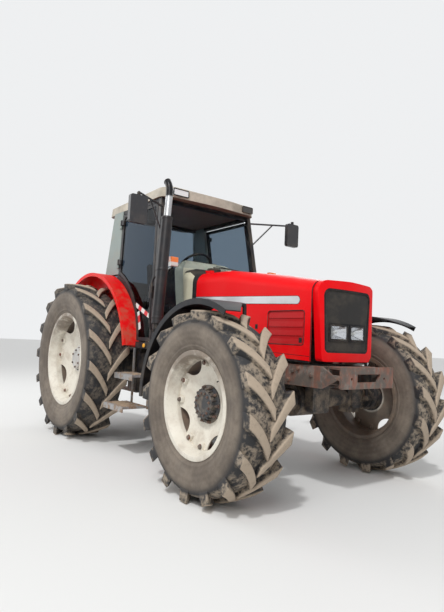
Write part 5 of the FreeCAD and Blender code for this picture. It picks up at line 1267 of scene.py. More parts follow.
def rounded(corners: list[tuple[float, float, float]], steps: int = 6, closed: bool = True) -> Outline:
    """Round the corners of a flat outline.

    Args:
        corners: Corner points with their radii.
        steps: Steps in each round.
        closed: Whether the last corner leads back to the first.

    Returns:
        The outline's points.
    """
    outline: Outline = []
    for i, (a, b, radius) in enumerate(corners):
        at_end = not closed and i in (0, len(corners) - 1)
        if radius <= 0 or at_end:
            outline.append((a, b))
            continue
        here = Vector((a, b))
        back = (Vector(corners[i - 1][:2]) - here).normalized()
        ahead = (Vector(corners[(i + 1) % len(corners)][:2]) - here).normalized()
        half = back.angle(ahead) / 2
        centre = here + (back + ahead).normalized() * (radius / math.sin(half))
        first = here + back * (radius / math.tan(half)) - centre
        last = here + ahead * (radius / math.tan(half)) - centre
        for k in range(steps + 1):
            spoke = first.lerp(last, k / steps).normalized() * radius
            outline.append(tuple(centre + spoke))
    return outline


def hex_bolt(name: str, foot: Vector, axis: Vector, across: float = 24.0,
             height: float = 14.0) -> bpy.types.Object:
    """Model a six-sided bolt head on its washer.

    Args:
        name: Name of the piece.
        foot: Where the washer lies, in metres.
        axis: Direction in which the head points.
        across: Width over the flats, in millimetres.
        height: Height of the head, in millimetres.

    Returns:
        The piece.
    """
    along = axis.normalized() * MILLIMETRE
    washer = start_rod(name, foot - along, foot + along * 3, across * 0.72 * MILLIMETRE, 20)
    head = start_rod(name, foot + along * 3, foot + along * (3 + height), across / 1.732 * MILLIMETRE, 6,
                     across / 1.732 * 0.93 * MILLIMETRE)
    return joined(name, [washer, head])


@dataclass
class Bench:
    """Finishes pieces: rounds their edges, shades and dresses them, and sets them on their body."""

    shop: Paintshop
    count: int = 0

    def finish(self, piece: bpy.types.Object, body: str, finish: str, edge: float = 0.0, steps: int = 2,
               angle: float = 35.0, replaces: tuple[str, ...] = ()) -> bpy.types.Object:
        """Finish one piece.

        Args:
            piece: The piece.
            body: Body that carries it.
            finish: Name of its finish.
            edge: Radius on its sharp edges, in millimetres.
            steps: Steps in that radius.
            angle: Edges sharper than this stay sharp, in degrees.
            replaces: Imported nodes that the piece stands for.

        Returns:
            The piece.
        """
        if edge > 0:
            apply_modifier(piece, "BEVEL", width=edge * MILLIMETRE, segments=steps, limit_method="ANGLE",
                           angle_limit=math.radians(30.0), use_clamp_overlap=True)
        activate(piece)
        bpy.ops.object.shade_smooth_by_angle(angle=math.radians(angle))
        self.shop.coat(piece, finish)
        self.carry(piece, body, replaces)
        return piece

    def carry(self, piece: bpy.types.Object, body: str, replaces: tuple[str, ...] = ()) -> None:
        """Set a dressed piece on its body.

        Args:
            piece: The piece.
            body: Body that carries it.
            replaces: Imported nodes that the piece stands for.
        """
        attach(piece, body)
        if replaces:
            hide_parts(*replaces)
        self.count += 1
        LOG.info("%s on %s, %d faces", piece.name, body, len(piece.data.polygons))

    def pair(self, piece: bpy.types.Object, name: str, body: str, finish: str, edge: float = 0.0,
             steps: int = 2, angle: float = 35.0, replaces: str = "") -> None:
        """Finish a left piece and its mirror image on the right.

        Args:
            piece: The left piece.
            name: Name of both, to which the side is added.
            body: Body that carries them, with {} for the side where there is one for each side.
            finish: Name of the finish.
            edge: Radius on sharp edges, in millimetres.
            steps: Steps in that radius.
            angle: Edges sharper than this stay sharp, in degrees.
            replaces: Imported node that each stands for, with {} for the side.
        """
        piece.name = "%s_left" % name
        stands = (replaces.format("left"),) if replaces else ()
        self.finish(piece, body.format("left"), finish, edge, steps, angle, stands)
        other = copied(piece, "%s_right" % name, MIRROR)
        for label in [key for key in other.keys() if key.startswith("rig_")]:
            del other[label]
        stands = (replaces.format("right"),) if replaces else ()
        self.carry(other, body.format("right"), stands)


# Wheels

@dataclass(frozen=True)
class WheelSize:
    """Sizes of one pair of wheels, in millimetres and degrees."""

    end: str
    x: float                      # axle ahead of the rear axle
    radius: float                 # out to the lug tips
    width: float
    seat: float                   # radius of the bead seats
    track: float
    hub_face: float               # outer face of the hub, from the middle plane
    hub: float                    # radius of the hub
    dish: float                   # how far the disc leans outwards
    window: float                 # radius of the openings
    clamp: float                  # half the angle between two clamps
    studs: int
    stud_ring: float              # radius of the ring of studs
    stud_across: float
    hub_finish: str


WHEELS = [
    WheelSize("front", 2600.0, 667.0, 380.0, 356.0, 930.0, 1000.0, 108.0, 46.0, 118.0, 15.0, 10, 124.0,
              20.0, "hub_black"),
    WheelSize("rear", 0.0, 838.0, 430.0, 483.0, 890.0, 925.0, 122.0, 70.0, 150.0, 12.0, 8, 112.0, 30.0,
              "hub_pale"),
]


@dataclass
class Wheel:
    """Lugged tyre, dished rim with its openings, clamps, hub and bolts."""

    bench: Bench
    size: WheelSize
    lug_pairs: int = 16
    lug_height: float = 38.0
    first_half: float = 18.0      # half a lug's top, where the first one meets the ground
    lug_half: float = 41.0
    foot_half: float = 54.0
    sweep: float = 20.0           # degrees that a lug runs round the tyre
    overlap: float = 12.0         # inner ends past the middle of the tread
    flange_height: float = 25.0
    well: float = 34.0
    wall: float = 9.0
    hub_sink: float = 70.0
    window_turns: tuple[float, ...] = (30.0, 120.0, 210.0, 300.0)

    @property
    def centre(self) -> Vector:
        """Middle of the wheel on the axle line, in the middle plane of the tractor."""
        return at(self.size.x, 0.0, self.size.radius)

    def place(self, reach: float, turn: float, y: float) -> Vector:
        """Point at a distance from the axle, an angle from the front and a distance outwards."""
        return at(self.size.x + reach * math.cos(turn), y, self.size.radius + reach * math.sin(turn))

    def profile(self, name: str, points: Outline) -> bpy.types.Object:
        """Draw a closed section (radius, distance outwards) and turn it about the axle.

        Args:
            name: Name of the piece.
            points: The section.

        Returns:
            The piece.
        """
        piece = start_line(name, [self.place(r, 0.0, y) for r, y in points], True)
        spin_round(piece, self.centre, 96)
        return piece

    def on_tread(self, share: Vector, side: int, turn: float) -> Vector:
        """Lay a point of a straight lug on the tread.

        Args:
            share: Across the lug -1 to 1, along it 0 to 1, and up it 0 to 1.
            side: 1 for the outer row, -1 for the inner one.
            turn: Angle of the lug's inner end.

        Returns:
            The point.
        """
        size = self.size
        half = size.width / 2
        along, up = share.y, share.z
        y = -self.overlap + (half + self.overlap) * along
        fall = max(y - half / 2, 0.0) / (half / 2)
        floor = size.radius - self.lug_height - 4 - 58 * fall
        top = size.radius - 8 * along ** 3
        reach = floor + (top - floor) * up
        width = self.foot_half + (self.lug_half - self.foot_half) * up
        flare = 0.94 + 0.16 * along
        angle = turn + math.radians(self.sweep) * (1.42 * along - 0.42 * along ** 2)
        angle += share.x * width * flare / size.radius
        return self.place(reach, angle, size.track + side * (y - 9 * (1 - up) * along ** 6))

    def lug(self, side: int, turn: float) -> bpy.types.Object:
        """Model one lug from a block cut across and laid on the tread.

        Args:
            side: 1 for the outer row, -1 for the inner one.
            turn: Angle of its inner end.

        Returns:
            The lug.
        """
        piece = start_cube("lug", Vector((-1.0, 0.0, 0.0)), Vector((1.0, 1.0, 1.0)))
        with editing(piece):
            for place in (0.12, 0.24, 0.36, 0.48, 0.6, 0.7, 0.8, 0.9):
                bpy.ops.mesh.select_all(action="SELECT")
                bpy.ops.mesh.bisect(plane_co=(0.0, place, 0.0), plane_no=(0.0, 1.0, 0.0))
            bpy.ops.mesh.select_all(action="SELECT")
            bpy.ops.mesh.bisect(plane_co=(0.0, 0.0, 0.55), plane_no=(0.0, 0.0, 1.0))
        for vertex in piece.data.vertices:
            vertex.co = self.on_tread(vertex.co, side, turn)
        face_outwards(piece)
        apply_modifier(piece, "BEVEL", width=6.5 * MILLIMETRE, segments=2, limit_method="ANGLE",
                       angle_limit=math.radians(40.0), use_clamp_overlap=True)
        return piece

    def carcass(self) -> bpy.types.Object:
        """Turn the tyre's section: beads, side walls with their rim guard, and the tread's floor."""
        size = self.size
        half = size.width / 2
        flange = size.seat + self.flange_height
        bead = half * 0.78
        bulge = (flange + size.radius) / 2 - 12
        shoulder = size.radius - 96

        def wall(share: float, out: float) -> tuple[float, float]:
            return flange + (bulge - flange) * share, bead + (half - bead) * out

        outer = [(size.seat, bead - 34), (size.seat, bead), (flange - 3, bead), (flange + 5, bead + 4),
                 wall(0.16, 0.30), wall(0.19, 0.42), wall(0.24, 0.46), wall(0.29, 0.44), wall(0.32, 0.50),
                 wall(0.5, 0.72), wall(0.68, 0.87), wall(0.85, 0.97), (bulge, half),
                 ((bulge + shoulder) / 2, half - 2), (shoulder - 8, half - 5), (shoulder - 3, half - 9),
                 (shoulder + 6, half - 10), (size.radius - 74, half * 0.90), (size.radius - 60, half * 0.79),
                 (size.radius - 49, half * 0.66), (size.radius - 41, half * 0.5),
                 (size.radius - 38, half * 0.3), (size.radius - 38, 0.0)]
        section = outer + [(r, -y) for r, y in reversed(outer[:-1])]
        section += [(size.radius - 104, 48 - half), (size.radius - 104, half - 48)]
        return self.profile("carcass", [(r, size.track + y) for r, y in section])

    def tyre(self) -> None:
        """Join the carcass and its two staggered rows of lugs."""
        pitch = 2 * math.pi / self.lug_pairs
        first = -math.pi / 2 + self.first_half / self.size.radius
        pieces = [self.carcass()]
        for side, shift in ((1, 0.0), (-1, 0.5)):
            lug = self.lug(side, first + pitch * shift)
            pieces.append(lug)
            for i in range(1, self.lug_pairs):
                pieces.append(copied(lug, "lug", turn_y(self.centre, pitch * i)))
        whole = joined("tyre", pieces)
        end = self.size.end
        self.bench.pair(whole, "rubber_" + end, "wheel_%s_{}" % end, "tyre_" + end, angle=48.0,
                        replaces="tyre_%s_{}" % end)

    def barrel(self) -> bpy.types.Object:
        """Turn the rim's barrel with its seats, flanges and drop centre."""
        size = self.size
        y0 = size.track - size.width * 0.39
        y1 = size.track + size.width * 0.39
        flange = size.seat + self.flange_height
        well = size.seat - self.well
        inner = well - self.wall
        section = rounded([
            (flange, y0 - self.wall, 4), (flange, y0, 3), (size.seat, y0, 4), (size.seat, y0 + 36, 14),
            (well, y0 + 70, 18), (well, y1 - 70, 18), (size.seat, y1 - 36, 14), (size.seat, y1, 4),
            (flange, y1, 3), (flange, y1 + self.wall, 4), (size.seat - self.wall, y1 + self.wall, 5),
            (inner, y1 - 70, 16), (inner, y0 + 70, 16), (size.seat - self.wall, y0 - self.wall, 5)], 3)
        return self.profile("barrel", section)

    def disc(self) -> bpy.types.Object:
        """Turn the dished disc and cut its four openings."""
        size = self.size
        inner = size.seat - self.well - self.wall
        edge = inner + self.wall / 2
        flat = size.hub * 1.45
        face = size.hub_face - self.hub_sink
        section = rounded([
            (size.hub * 0.8, face, 0), (flat, face, 16), (edge, face + size.dish, 0),
            (edge, face + size.dish + 12, 0), (flat, face + 12, 22), (size.hub * 0.8, face + 12, 0)], 5)
        piece = self.profile("disc", section)
        for degrees in self.window_turns:
            turn = math.radians(degrees)
            reach = inner + 0.35 * size.window
            cutter = start_rod("cutter", self.place(reach, turn, face - 80), self.place(reach, turn, face + 180),
                               size.window * MILLIMETRE, 64)
            cut(piece, cutter)
        return piece

    def rim(self) -> None:
        """Join the barrel and its disc."""
        end = self.size.end
        whole = joined("rim", [self.barrel(), self.disc()])
        self.bench.pair(whole, "disc_" + end, "wheel_%s_{}" % end, "rim_" + end, angle=32.0,
                        replaces="rim_%s_{}" % end)

    def clamps(self) -> None:
        """Weld two clamp blocks at each lobe, with their bolts."""
        size = self.size
        inner = size.seat - self.well - self.wall
        face = size.hub_face - self.hub_sink + size.dish
        blocks, bolts = [], []
        for degrees in self.window_turns:
            for offset in (45 - size.clamp, 45 + size.clamp):
                turn = math.radians(degrees + offset)
                block = start_cube("clamp", at(size.x + inner - 46, face - 24, size.radius - 23),
                                   at(size.x + inner + 2, face + 24, size.radius + 23))
                apply_modifier(block, "BEVEL", width=5 * MILLIMETRE, segments=2)
                block.data.transform(turn_y(self.centre, turn))
                blocks.append(block)
                bolts.append(hex_bolt("bolt", self.place(inner - 20, turn, face + 23), Vector((0.0, 1.0, 0.0)),
                                      26.0, 13.0))
        end = self.size.end
        self.bench.pair(joined("clamps", blocks), "clamps_" + end, "wheel_%s_{}" % end, "rim_" + end)
        self.bench.pair(joined("bolts", bolts), "clamp_bolts_" + end, "wheel_%s_{}" % end, "bolt_rust",
                        edge=1.0)

    def hub(self) -> None:
        """Turn the hub, set its ring of studs and, in front, the teeth round its cap."""
        size = self.size
        face = size.hub_face - self.hub_sink
        r = size.hub
        section = rounded([
            (0.0, face - 74, 0), (r * 1.12, face - 74, 3), (r * 1.12, face - 2, 0), (r * 1.25, face - 2, 0),
            (r * 1.25, face + 24, 4), (r, face + 30, 3), (r * 0.94, face + 60, 6),
            (r * 0.90, face + self.hub_sink - 1, 4), (r * 0.62, face + self.hub_sink - 1, 3),
            (r * 0.58, face + self.hub_sink - 8, 3), (0.0, face + self.hub_sink - 8, 0)], 3)
        hub = self.profile("hub", section)
        end = self.size.end
        self.bench.pair(hub, "hub_" + end, "wheel_%s_{}" % end, size.hub_finish, angle=30.0)
        outward = Vector((0.0, 1.0, 0.0))
        studs = []
        for i in range(size.studs):
            turn = 2 * math.pi * i / size.studs
            stud = hex_bolt("stud", self.place(size.stud_ring, turn, face + 24 if size.end == "front" else face + 25),
                            outward, size.stud_across, 16.0)
            tip = start_rod("tip", self.place(size.stud_ring, turn, face + 30),
                            self.place(size.stud_ring, turn, face + 52), size.stud_across * 0.3 * MILLIMETRE, 12)
            studs += [stud, tip]
        self.bench.pair(joined("studs", studs), "studs_" + end, "wheel_%s_{}" % end, "bolt_dark", edge=1.0)
        if size.end == "front":
            self.cap_teeth(face)
        else:
            self.cap_bolts(face)

    def cap_teeth(self, face: float) -> None:
        """Stand the short ribs and their bolts round the planetary cap."""
        size = self.size
        teeth = []
        rib = start_cube("tooth", at(size.x + size.hub * 0.80, face + 28, size.radius - 6),
                         at(size.x + size.hub * 1.06, face + 64, size.radius + 6))
        apply_modifier(rib, "BEVEL", width=3 * MILLIMETRE, segments=2)
        for i in range(18):
            turn = turn_y(self.centre, 2 * math.pi * i / 18)
            teeth.append(copied(rib, "tooth", turn))
        bpy.data.objects.remove(rib)
        self.bench.pair(joined("teeth", teeth), "cap_teeth", "wheel_front_{}", "hub_black")
        bolts = [hex_bolt("bolt", self.place(size.hub * 0.72, 2 * math.pi * (i + 0.5) / 12,
                                             face + self.hub_sink - 1), Vector((0.0, 1.0, 0.0)), 13.0, 7.0)
                 for i in range(12)]
        self.bench.pair(joined("bolts", bolts), "cap_bolts", "wheel_front_{}", "bolt_dark", edge=0.6)

    def cap_bolts(self, face: float) -> None:
        """Set the bolts of the axle's end cap."""
        size = self.size
        bolts = [hex_bolt("bolt", self.place(size.hub * 0.76, 2 * math.pi * (i + 0.5) / 6,
                                             face + self.hub_sink - 1), Vector((0.0, 1.0, 0.0)), 17.0, 9.0)
                 for i in range(6)]
        self.bench.pair(joined("bolts", bolts), "axle_bolts", "wheel_rear_{}", "bolt_dark", edge=0.8)

    def valve(self) -> None:
        """Set the valve in the barrel, between two lobes."""
        size = self.size
        inner = size.seat - self.well - self.wall
        turn = math.radians(self.window_turns[0] + 8)
        y = size.track + size.width * 0.28
        start, end = self.place(inner - 2, turn, y), self.place(inner - 16, turn, y + 12)
        stem = start_rod("valve", start, end, 3.5 * MILLIMETRE, 12)
        cap = start_rod("cap", end, end + (end - start) * 0.5, 4.5 * MILLIMETRE, 12)
        self.bench.pair(joined("valve", [stem, cap]), "valve_" + size.end, "wheel_%s_{}" % size.end,
                        "seal_black", edge=0.8)

    def build(self) -> None:
        """Build the wheel on both sides."""
        self.tyre()
        self.rim()
        self.clamps()
        self.hub()
        self.valve()


# Hood, nose and front plate

@dataclass
class HoodTrim:
    """Silver stripes, seams, latches and headlamps of the hood."""

    bench: Bench
    rear_x: float = 1495.0
    taper_x: float = 2420.0       # where the sides start to draw in
    seam_x: float = 2985.0
    half: float = 344.0
    seam_half: float = 340.0
    bow_r: float = 1780.0         # of the nose, in plan
    bow_x: float = 1290.0
    lamp_y: tuple[float, float] = (16.0, 202.0)
    lamp_z: tuple[float, float] = (1163.0, 1277.0)

    def side_y(self, x: float) -> float:
        """Outer side of the hood at a distance ahead of the rear axle."""
        share = max(x - self.taper_x, 0.0) / (self.seam_x - self.taper_x)
        return self.half + share * (self.seam_half - self.half)

    def front_x(self, y: float) -> float:
        """Front of the bowed nose at a distance from the middle plane."""
        return self.bow_x + math.sqrt(self.bow_r ** 2 - y ** 2)

    def streak(self, name: str, start: Point, end: Point, round_end: bool, proud: float,
               finish: str) -> None:
        """Lay a long narrow strip on the hood's side.

        Args:
            name: Name of the strip.
            start: Distance ahead, lower and upper height at its rear end.
            end: The same at its front end.
            round_end: Round the front end.
            proud: How far it stands out.
            finish: Name of its finish.
        """
        (x0, low0, high0), (x1, low1, high1) = start, end
        tip = (high1 - low1) / 2 if round_end else 0.0

        def place(u: float, v: float) -> Vector:
            squeeze = 1.0
            if u < 0.5 or not round_end:
                x = x0 + (x1 - tip - x0) * (u / 0.5 if round_end else u)
            else:
                angle = (u - 0.5) * math.pi
                x = x1 - tip + tip * math.sin(angle)
                squeeze = max(math.cos(angle), 0.02)
            share = (x - x0) / (x1 - x0)
            low, high = low0 + (low1 - low0) * share, high0 + (high1 - high0) * share
            z = (low + high) / 2 + (v - 0.5) * (high - low) * squeeze
            return at(x, self.side_y(x) + proud / 2, z)

        piece = start_sheet(name, 36, 1, place, 0.0)
        thicken(piece, proud * MILLIMETRE, 0.0)
        self.bench.pair(piece, name, "hood", finish)

    def stripes(self) -> None:
        """Lay the silver stripes with their dark edges, and the line along the lower edge."""
        self.streak("stripe_edge", (1497.0, 1462.0, 1532.0), (2874.0, 1420.0, 1486.0), True, 0.7, "seal_black")
        self.streak("stripe", (1497.0, 1466.0, 1528.0), (2870.0, 1424.0, 1482.0), True, 1.5, "stripe_silver")
        self.streak("side_line", (1497.0, 1075.0, 1078.0), (2983.0, 1034.0, 1037.0), False, 0.8, "seal_black")

    def seams(self) -> None:
        """Fit the black strips between hood and nose, and along the hood's lower edges."""
        arch = rounded([(-self.seam_half + 3, 1006.0, 0), (-self.seam_half + 3, 1597.0, 93),
                        (0.0, 1609.0, 897), (self.seam_half - 3, 1597.0, 93), (self.seam_half - 3, 1006.0, 0)],
                       8, False)
        piece = start_band("nose_seam", [at(self.seam_x + 0.7, y, z) for y, z in arch],
                           Vector((0.006, 0.0, 0.0)), 0.003)
        self.bench.finish(piece, "hood", "seal_black")
        lower = [at(x, self.side_y(x) - 7, 1045.0 - (x - self.rear_x) / 1490.0 * 43 - 16)
                 for x in (1500.0, 2000.0, 2420.0, 2980.0)]
        piece = start_band("hood_skirt", lower, Vector((0.0, 0.0, 0.030)), 0.004)
        self.bench.pair(piece, "hood_skirt", "hood", "seal_black")

    def latches(self) -> None:
        """Fit the hood's latches and the corner catches of the louvre panels."""
        for name, x, z in (("latch_front", 2890.0, 1152.0), ("latch_rear", 2396.0, 1249.0)):
            y = self.side_y(x)
            plate = start_cube(name, at(x - 15, y - 2, z - 19), at(x + 15, y + 3, z + 19))
            with editing(plate):
                pick(plate, lambda middle, normal: normal.y > 0.9)
                bpy.ops.mesh.inset(thickness=0.006, depth=-0.0015)
            knob = start_rod("knob", at(x, y, z), at(x, y + 5, z), 0.007, 16)
            self.bench.pair(joined(name, [plate, knob]), name, "hood", "seal_black", edge=1.2)

    def louvre_frames(self) -> None:
        """Run a thin black edge round the louvre recesses."""
        corners = rounded([(2528.0, 1114.0, 26), (2925.0, 1114.0, 26), (2925.0, 1375.0, 26),
                           (2528.0, 1375.0, 26)], 5)
        frame_line = [at(x, self.side_y(x) + 0.4, z) for x, z in corners]
        self.bench.pair(start_tube("louvre_frame", frame_line, 0.0028, closed=True, straight=True),
                        "louvre_frame", "hood", "seal_black", angle=60.0)

    def lamp_surface(self, side: int, back: float) -> Callable[[float, float], Vector]:
        """Surface behind the bowed front, over one lamp's opening.

        Args:
            side: 1 on the left, -1 on the right.
            back: How far behind the front.

        Returns:
            A function of the two shares.
        """
        (y0, y1), (z0, z1) = self.lamp_y, self.lamp_z

        def place(u: float, v: float) -> Vector:
            y = side * (y0 + 0.8 + (y1 - y0 - 1.6) * u)
            return at(self.front_x(y) - back, y, z0 + 0.8 + (z1 - z0 - 1.6) * v)
        return place

    def bowl(self, side: int) -> Callable[[float, float], Vector]:
        """Reflector's bowl, its rim on the lens."""
        flat = self.lamp_surface(side, 9.0)

        def place(u: float, v: float) -> Vector:
            a, b = abs(2 * u - 1), abs(2 * v - 1)
            spread = (a ** 3.5 + b ** 3.5) ** (1 / 3.5)
            depth = 52.0 * max(1.0 - spread ** 2.2, 0.0)
            return flat(u, v) - Vector((depth * MILLIMETRE, 0.0, 0.0))
        return place

    def headlamps(self) -> None:
        """Build the reflectors, bulbs and lenses of both headlamps."""
        lenses, bowls, bulbs, bezels = [], [], [], []
        for side in (1, -1):
            lens = start_sheet("lens", 10, 6, self.lamp_surface(side, 4.5), 0.0)
            thicken(lens, 0.003, 0.0)
            lenses.append(lens)
            bowl = start_sheet("bowl", 32, 24, self.bowl(side), 0.0)
            thicken(bowl, 0.002, 0.0)
            bowls.append(bowl)
            y = side * sum(self.lamp_y) / 2
            z = sum(self.lamp_z) / 2
            x = self.front_x(y)
            socket = start_rod("socket", at(x - 62, y, z), at(x - 46, y, z), 0.016, 20, 0.012)
            bulb = start_rod("bulb", at(x - 46, y, z), at(x - 26, y, z), 0.0085, 16, 0.006)
            bulbs += [socket, bulb]
            (y0, y1), (z0, z1) = self.lamp_y, self.lamp_z
            low, high = sorted((side * (y0 + 5.5), side * (y1 - 5.5)))
            corners = rounded([(low, z0 + 5.5, 10), (high, z0 + 5.5, 10), (high, z1 - 5.5, 10),
                               (low, z1 - 5.5, 10)], 4)
            bezels.append(start_tube("bezel", [at(self.front_x(a) - 5.5, a, b) for a, b in corners], 0.0055,
                                     closed=True, straight=True))
        self.bench.finish(joined("lamp_bezels", bezels), "hood", "seal_black", angle=60.0)
        self.bench.finish(joined("lamp_lenses", lenses), "hood", "lens_clear", replaces=("headlamps",))
        self.bench.finish(joined("lamp_reflectors", bowls), "hood", "mirror_metal", angle=60.0)
        self.bench.finish(joined("lamp_bulbs", bulbs), "hood", "bulb_white", edge=1.5)

    def build(self) -> None:
        """Build all the trim of the hood."""
        self.stripes()
        self.seams()
        self.latches()
        self.louvre_frames()
        self.headlamps()


@dataclass
class FrontEnd:
    """Bolts of the front plate, the frame rails and the steering knuckles."""

    bench: Bench
    plate_y: float = 316.0
    rail_bolts: tuple[Point, ...] = ((2803.0, 920.0, 30.0), (2702.0, 912.0, 30.0), (2760.0, 850.0, 24.0),
                                     (2860.0, 940.0, 24.0), (2990.0, 900.0, 26.0))

    def build(self) -> None:
        """Set every bolt."""
        outward = Vector((0.0, 1.0, 0.0))
        bolts = [hex_bolt("bolt", at(x, self.plate_y, z), outward, across, 14.0)
                 for x, z, across in self.rail_bolts]
        self.bench.pair(joined("bolts", bolts), "plate_bolts", "chassis", "bolt_rust", edge=1.0)
        caps = []
        for top in (1.0, -1.0):
            up = Vector((0.0, 0.0, top))
            level = 667.0 + top * 126.0
            low, high = sorted((level - 2 * top, level + 9 * top))
            caps.append(start_rod("cap", at(2600.0, 680.0, low), at(2600.0, 680.0, high), 0.036, 32))
            for i in range(4):
                turn = math.pi / 4 + math.pi / 2 * i
                caps.append(hex_bolt("bolt", at(2600.0 + 25 * math.cos(turn), 680.0 + 25 * math.sin(turn),
                                                level + 8 * top), up, 11.0, 6.0))
        self.bench.pair(joined("caps", caps), "kingpin_caps", "knuckle_{}", "bolt_dark", edge=1.0)


# Cab

@dataclass
class CabTrim:
    """Seals, wiper, lamp frames, grab rails and door bands of the cab."""

    bench: Bench
    bottom_z: float = 1070.0
    top_z: float = 2540.0
    bottom_y: float = 712.0
    top_y: float = 588.0
    post_bottom_x: float = 1362.0
    post_top_x: float = 1146.0

    def share(self, z: float) -> float:
        """Share of the way up the cab's walls."""
        return (z - self.bottom_z) / (self.top_z - self.bottom_z)

    def side_y(self, z: float) -> float:
        """Outer side of the wall at a height."""
        return self.bottom_y + self.share(z) * (self.top_y - self.bottom_y)

    def post_x(self, z: float) -> float:
        """Front edge of the cab at a height."""
        return self.post_bottom_x + self.share(z) * (self.post_top_x - self.post_bottom_x)

    def seals(self) -> None:
        """Run black rubber round the windscreen and the rear window."""
        points = []
        for z, sign in ((1076.0, 1), (2530.0, 1), (2530.0, -1), (1076.0, -1)):
            points.append(at(self.post_x(z) - 2, sign * (self.side_y(z) - 46), z))
        piece = start_tube("screen_seal", points, 0.006, straight=True)
        self.bench.finish(piece, "chassis", "seal_black", angle=50.0)
        points = []
        for z, sign in ((1765.0, 1), (2530.0, 1), (2530.0, -1), (1765.0, -1)):
            points.append(at(62.0, sign * (self.side_y(z) - 58), z))
        piece = start_tube("rear_seal", points, 0.006, closed=True, straight=True)
        self.bench.finish(piece, "chassis", "seal_black", angle=50.0)

    def wiper(self) -> None:
        """Fit the wiper's motor cover, arm and blade in front of the windscreen."""
        cover = start_cube("cover", at(1268.0, -75.0, 1830.0), at(1345.0, 60.0, 1862.0))
        apply_modifier(cover, "BEVEL", width=0.012, segments=3)
        shaft = start_rod("shaft", at(1305.0, -5.0, 1855.0), at(1305.0, -5.0, 1880.0), 0.011, 16)
        arm = start_rod("arm", at(1305.0, -5.0, 1874.0), at(1262.0, 300.0, 1888.0), 0.006, 10, 0.004)
        blade = start_rod("blade", at(1262.0, 55.0, 1900.0), at(1258.0, 545.0, 1880.0), 0.0045, 8)
        lip = start_cube("lip", at(1247.0, 60.0, 1884.0), at(1262.0, 540.0, 1887.0))
        for vertex in lip.data.vertices:
            vertex.co.z += (0.06 - (vertex.co.y)) * 0.04 + 0.012
        whole = joined("wiper", [cover, shaft, arm, blade, lip])
        self.bench.finish(whole, "chassis", "seal_black", edge=1.0)

    def lamp_frames(self) -> None:
        """Frame the two lamps in the front edge of the roof."""
        frames = []
        for y0, y1, z0, z1 in ((395.0, 535.0, 2558.0, 2624.0), (-510.0, -330.0, 2560.0, 2626.0)):
            corners = rounded([(y0, z0, 10), (y1, z0, 10), (y1, z1, 10), (y0, z1, 10)], 4)
            frames.append(start_tube("frame", [at(1246.5, y, z) for y, z in corners], 0.0055, closed=True,
                                     straight=True))
        self.bench.finish(joined("roof_lamp_frames", frames), "chassis", "seal_black", angle=60.0)

    def rails(self) -> None:
        """Bend the grab rails beside the doors."""
        points = []
        for z, out in ((1180.0, -8.0), (1185.0, 38.0), (1330.0, 46.0), (1560.0, 46.0), (1705.0, 38.0),
                       (1710.0, -8.0)):
            points.append(at(self.post_x(z) - 22, self.side_y(z) + out, z))
        self.bench.pair(start_tube("grab_rail", points, 0.011), "grab_rail", "chassis", "seal_black",
                        angle=60.0)

    def marker_lamps(self) -> None:
        """Fit the small amber marker lamps on the sills."""
        body = start_rod("body", at(1196.0, 710.0, 1036.0), at(1196.0, 722.0, 1036.0), 0.026, 32)
        self.bench.pair(body, "marker_base", "chassis", "seal_black", edge=2.0)
        lens = start_rod("lens", at(1196.0, 721.0, 1036.0), at(1196.0, 731.0, 1036.0), 0.021, 32, 0.017)
        self.bench.pair(lens, "marker_lens", "chassis", "marker_amber", edge=3.0, steps=3)

    def pane_y(self, z: float) -> float:
        """Outer face of the door's glass at a height."""
        return self.side_y(z) - 8.0

    def bands(self) -> None:
        """Lay the red and white reflecting bands on the right door's glass."""
        table = [
            # name, start x z, end x z, width
            ("band_long", (884.0, 1446.0), (1290.0, 1286.0), 42.0),
            ("band_short", (960.0, 1372.0), (1040.0, 1190.0), 46.0),
        ]
        for name, (x0, z0), (x1, z1), width in table:
            along = Vector((x1 - x0, z1 - z0)).normalized()
            across = Vector((-along.y, along.x)) * width / 2

            def place(u: float, v: float) -> Vector:
                x = x0 + (x1 - x0) * u + across.x * (2 * v - 1)
                z = z0 + (z1 - z0) * u + across.y * (2 * v - 1)
                return at(x, -(self.pane_y(z) + 0.6), z)
            piece = start_sheet(name, 12, 2, place, 0.0)
            thicken(piece, 0.0008, 0.0)
            self.bench.finish(piece, "door_right", name)

    def build(self) -> None:
        """Build all the trim of the cab."""
        self.seals()
        self.wiper()
        self.lamp_frames()
        self.rails()
        self.marker_lamps()
        self.bands()


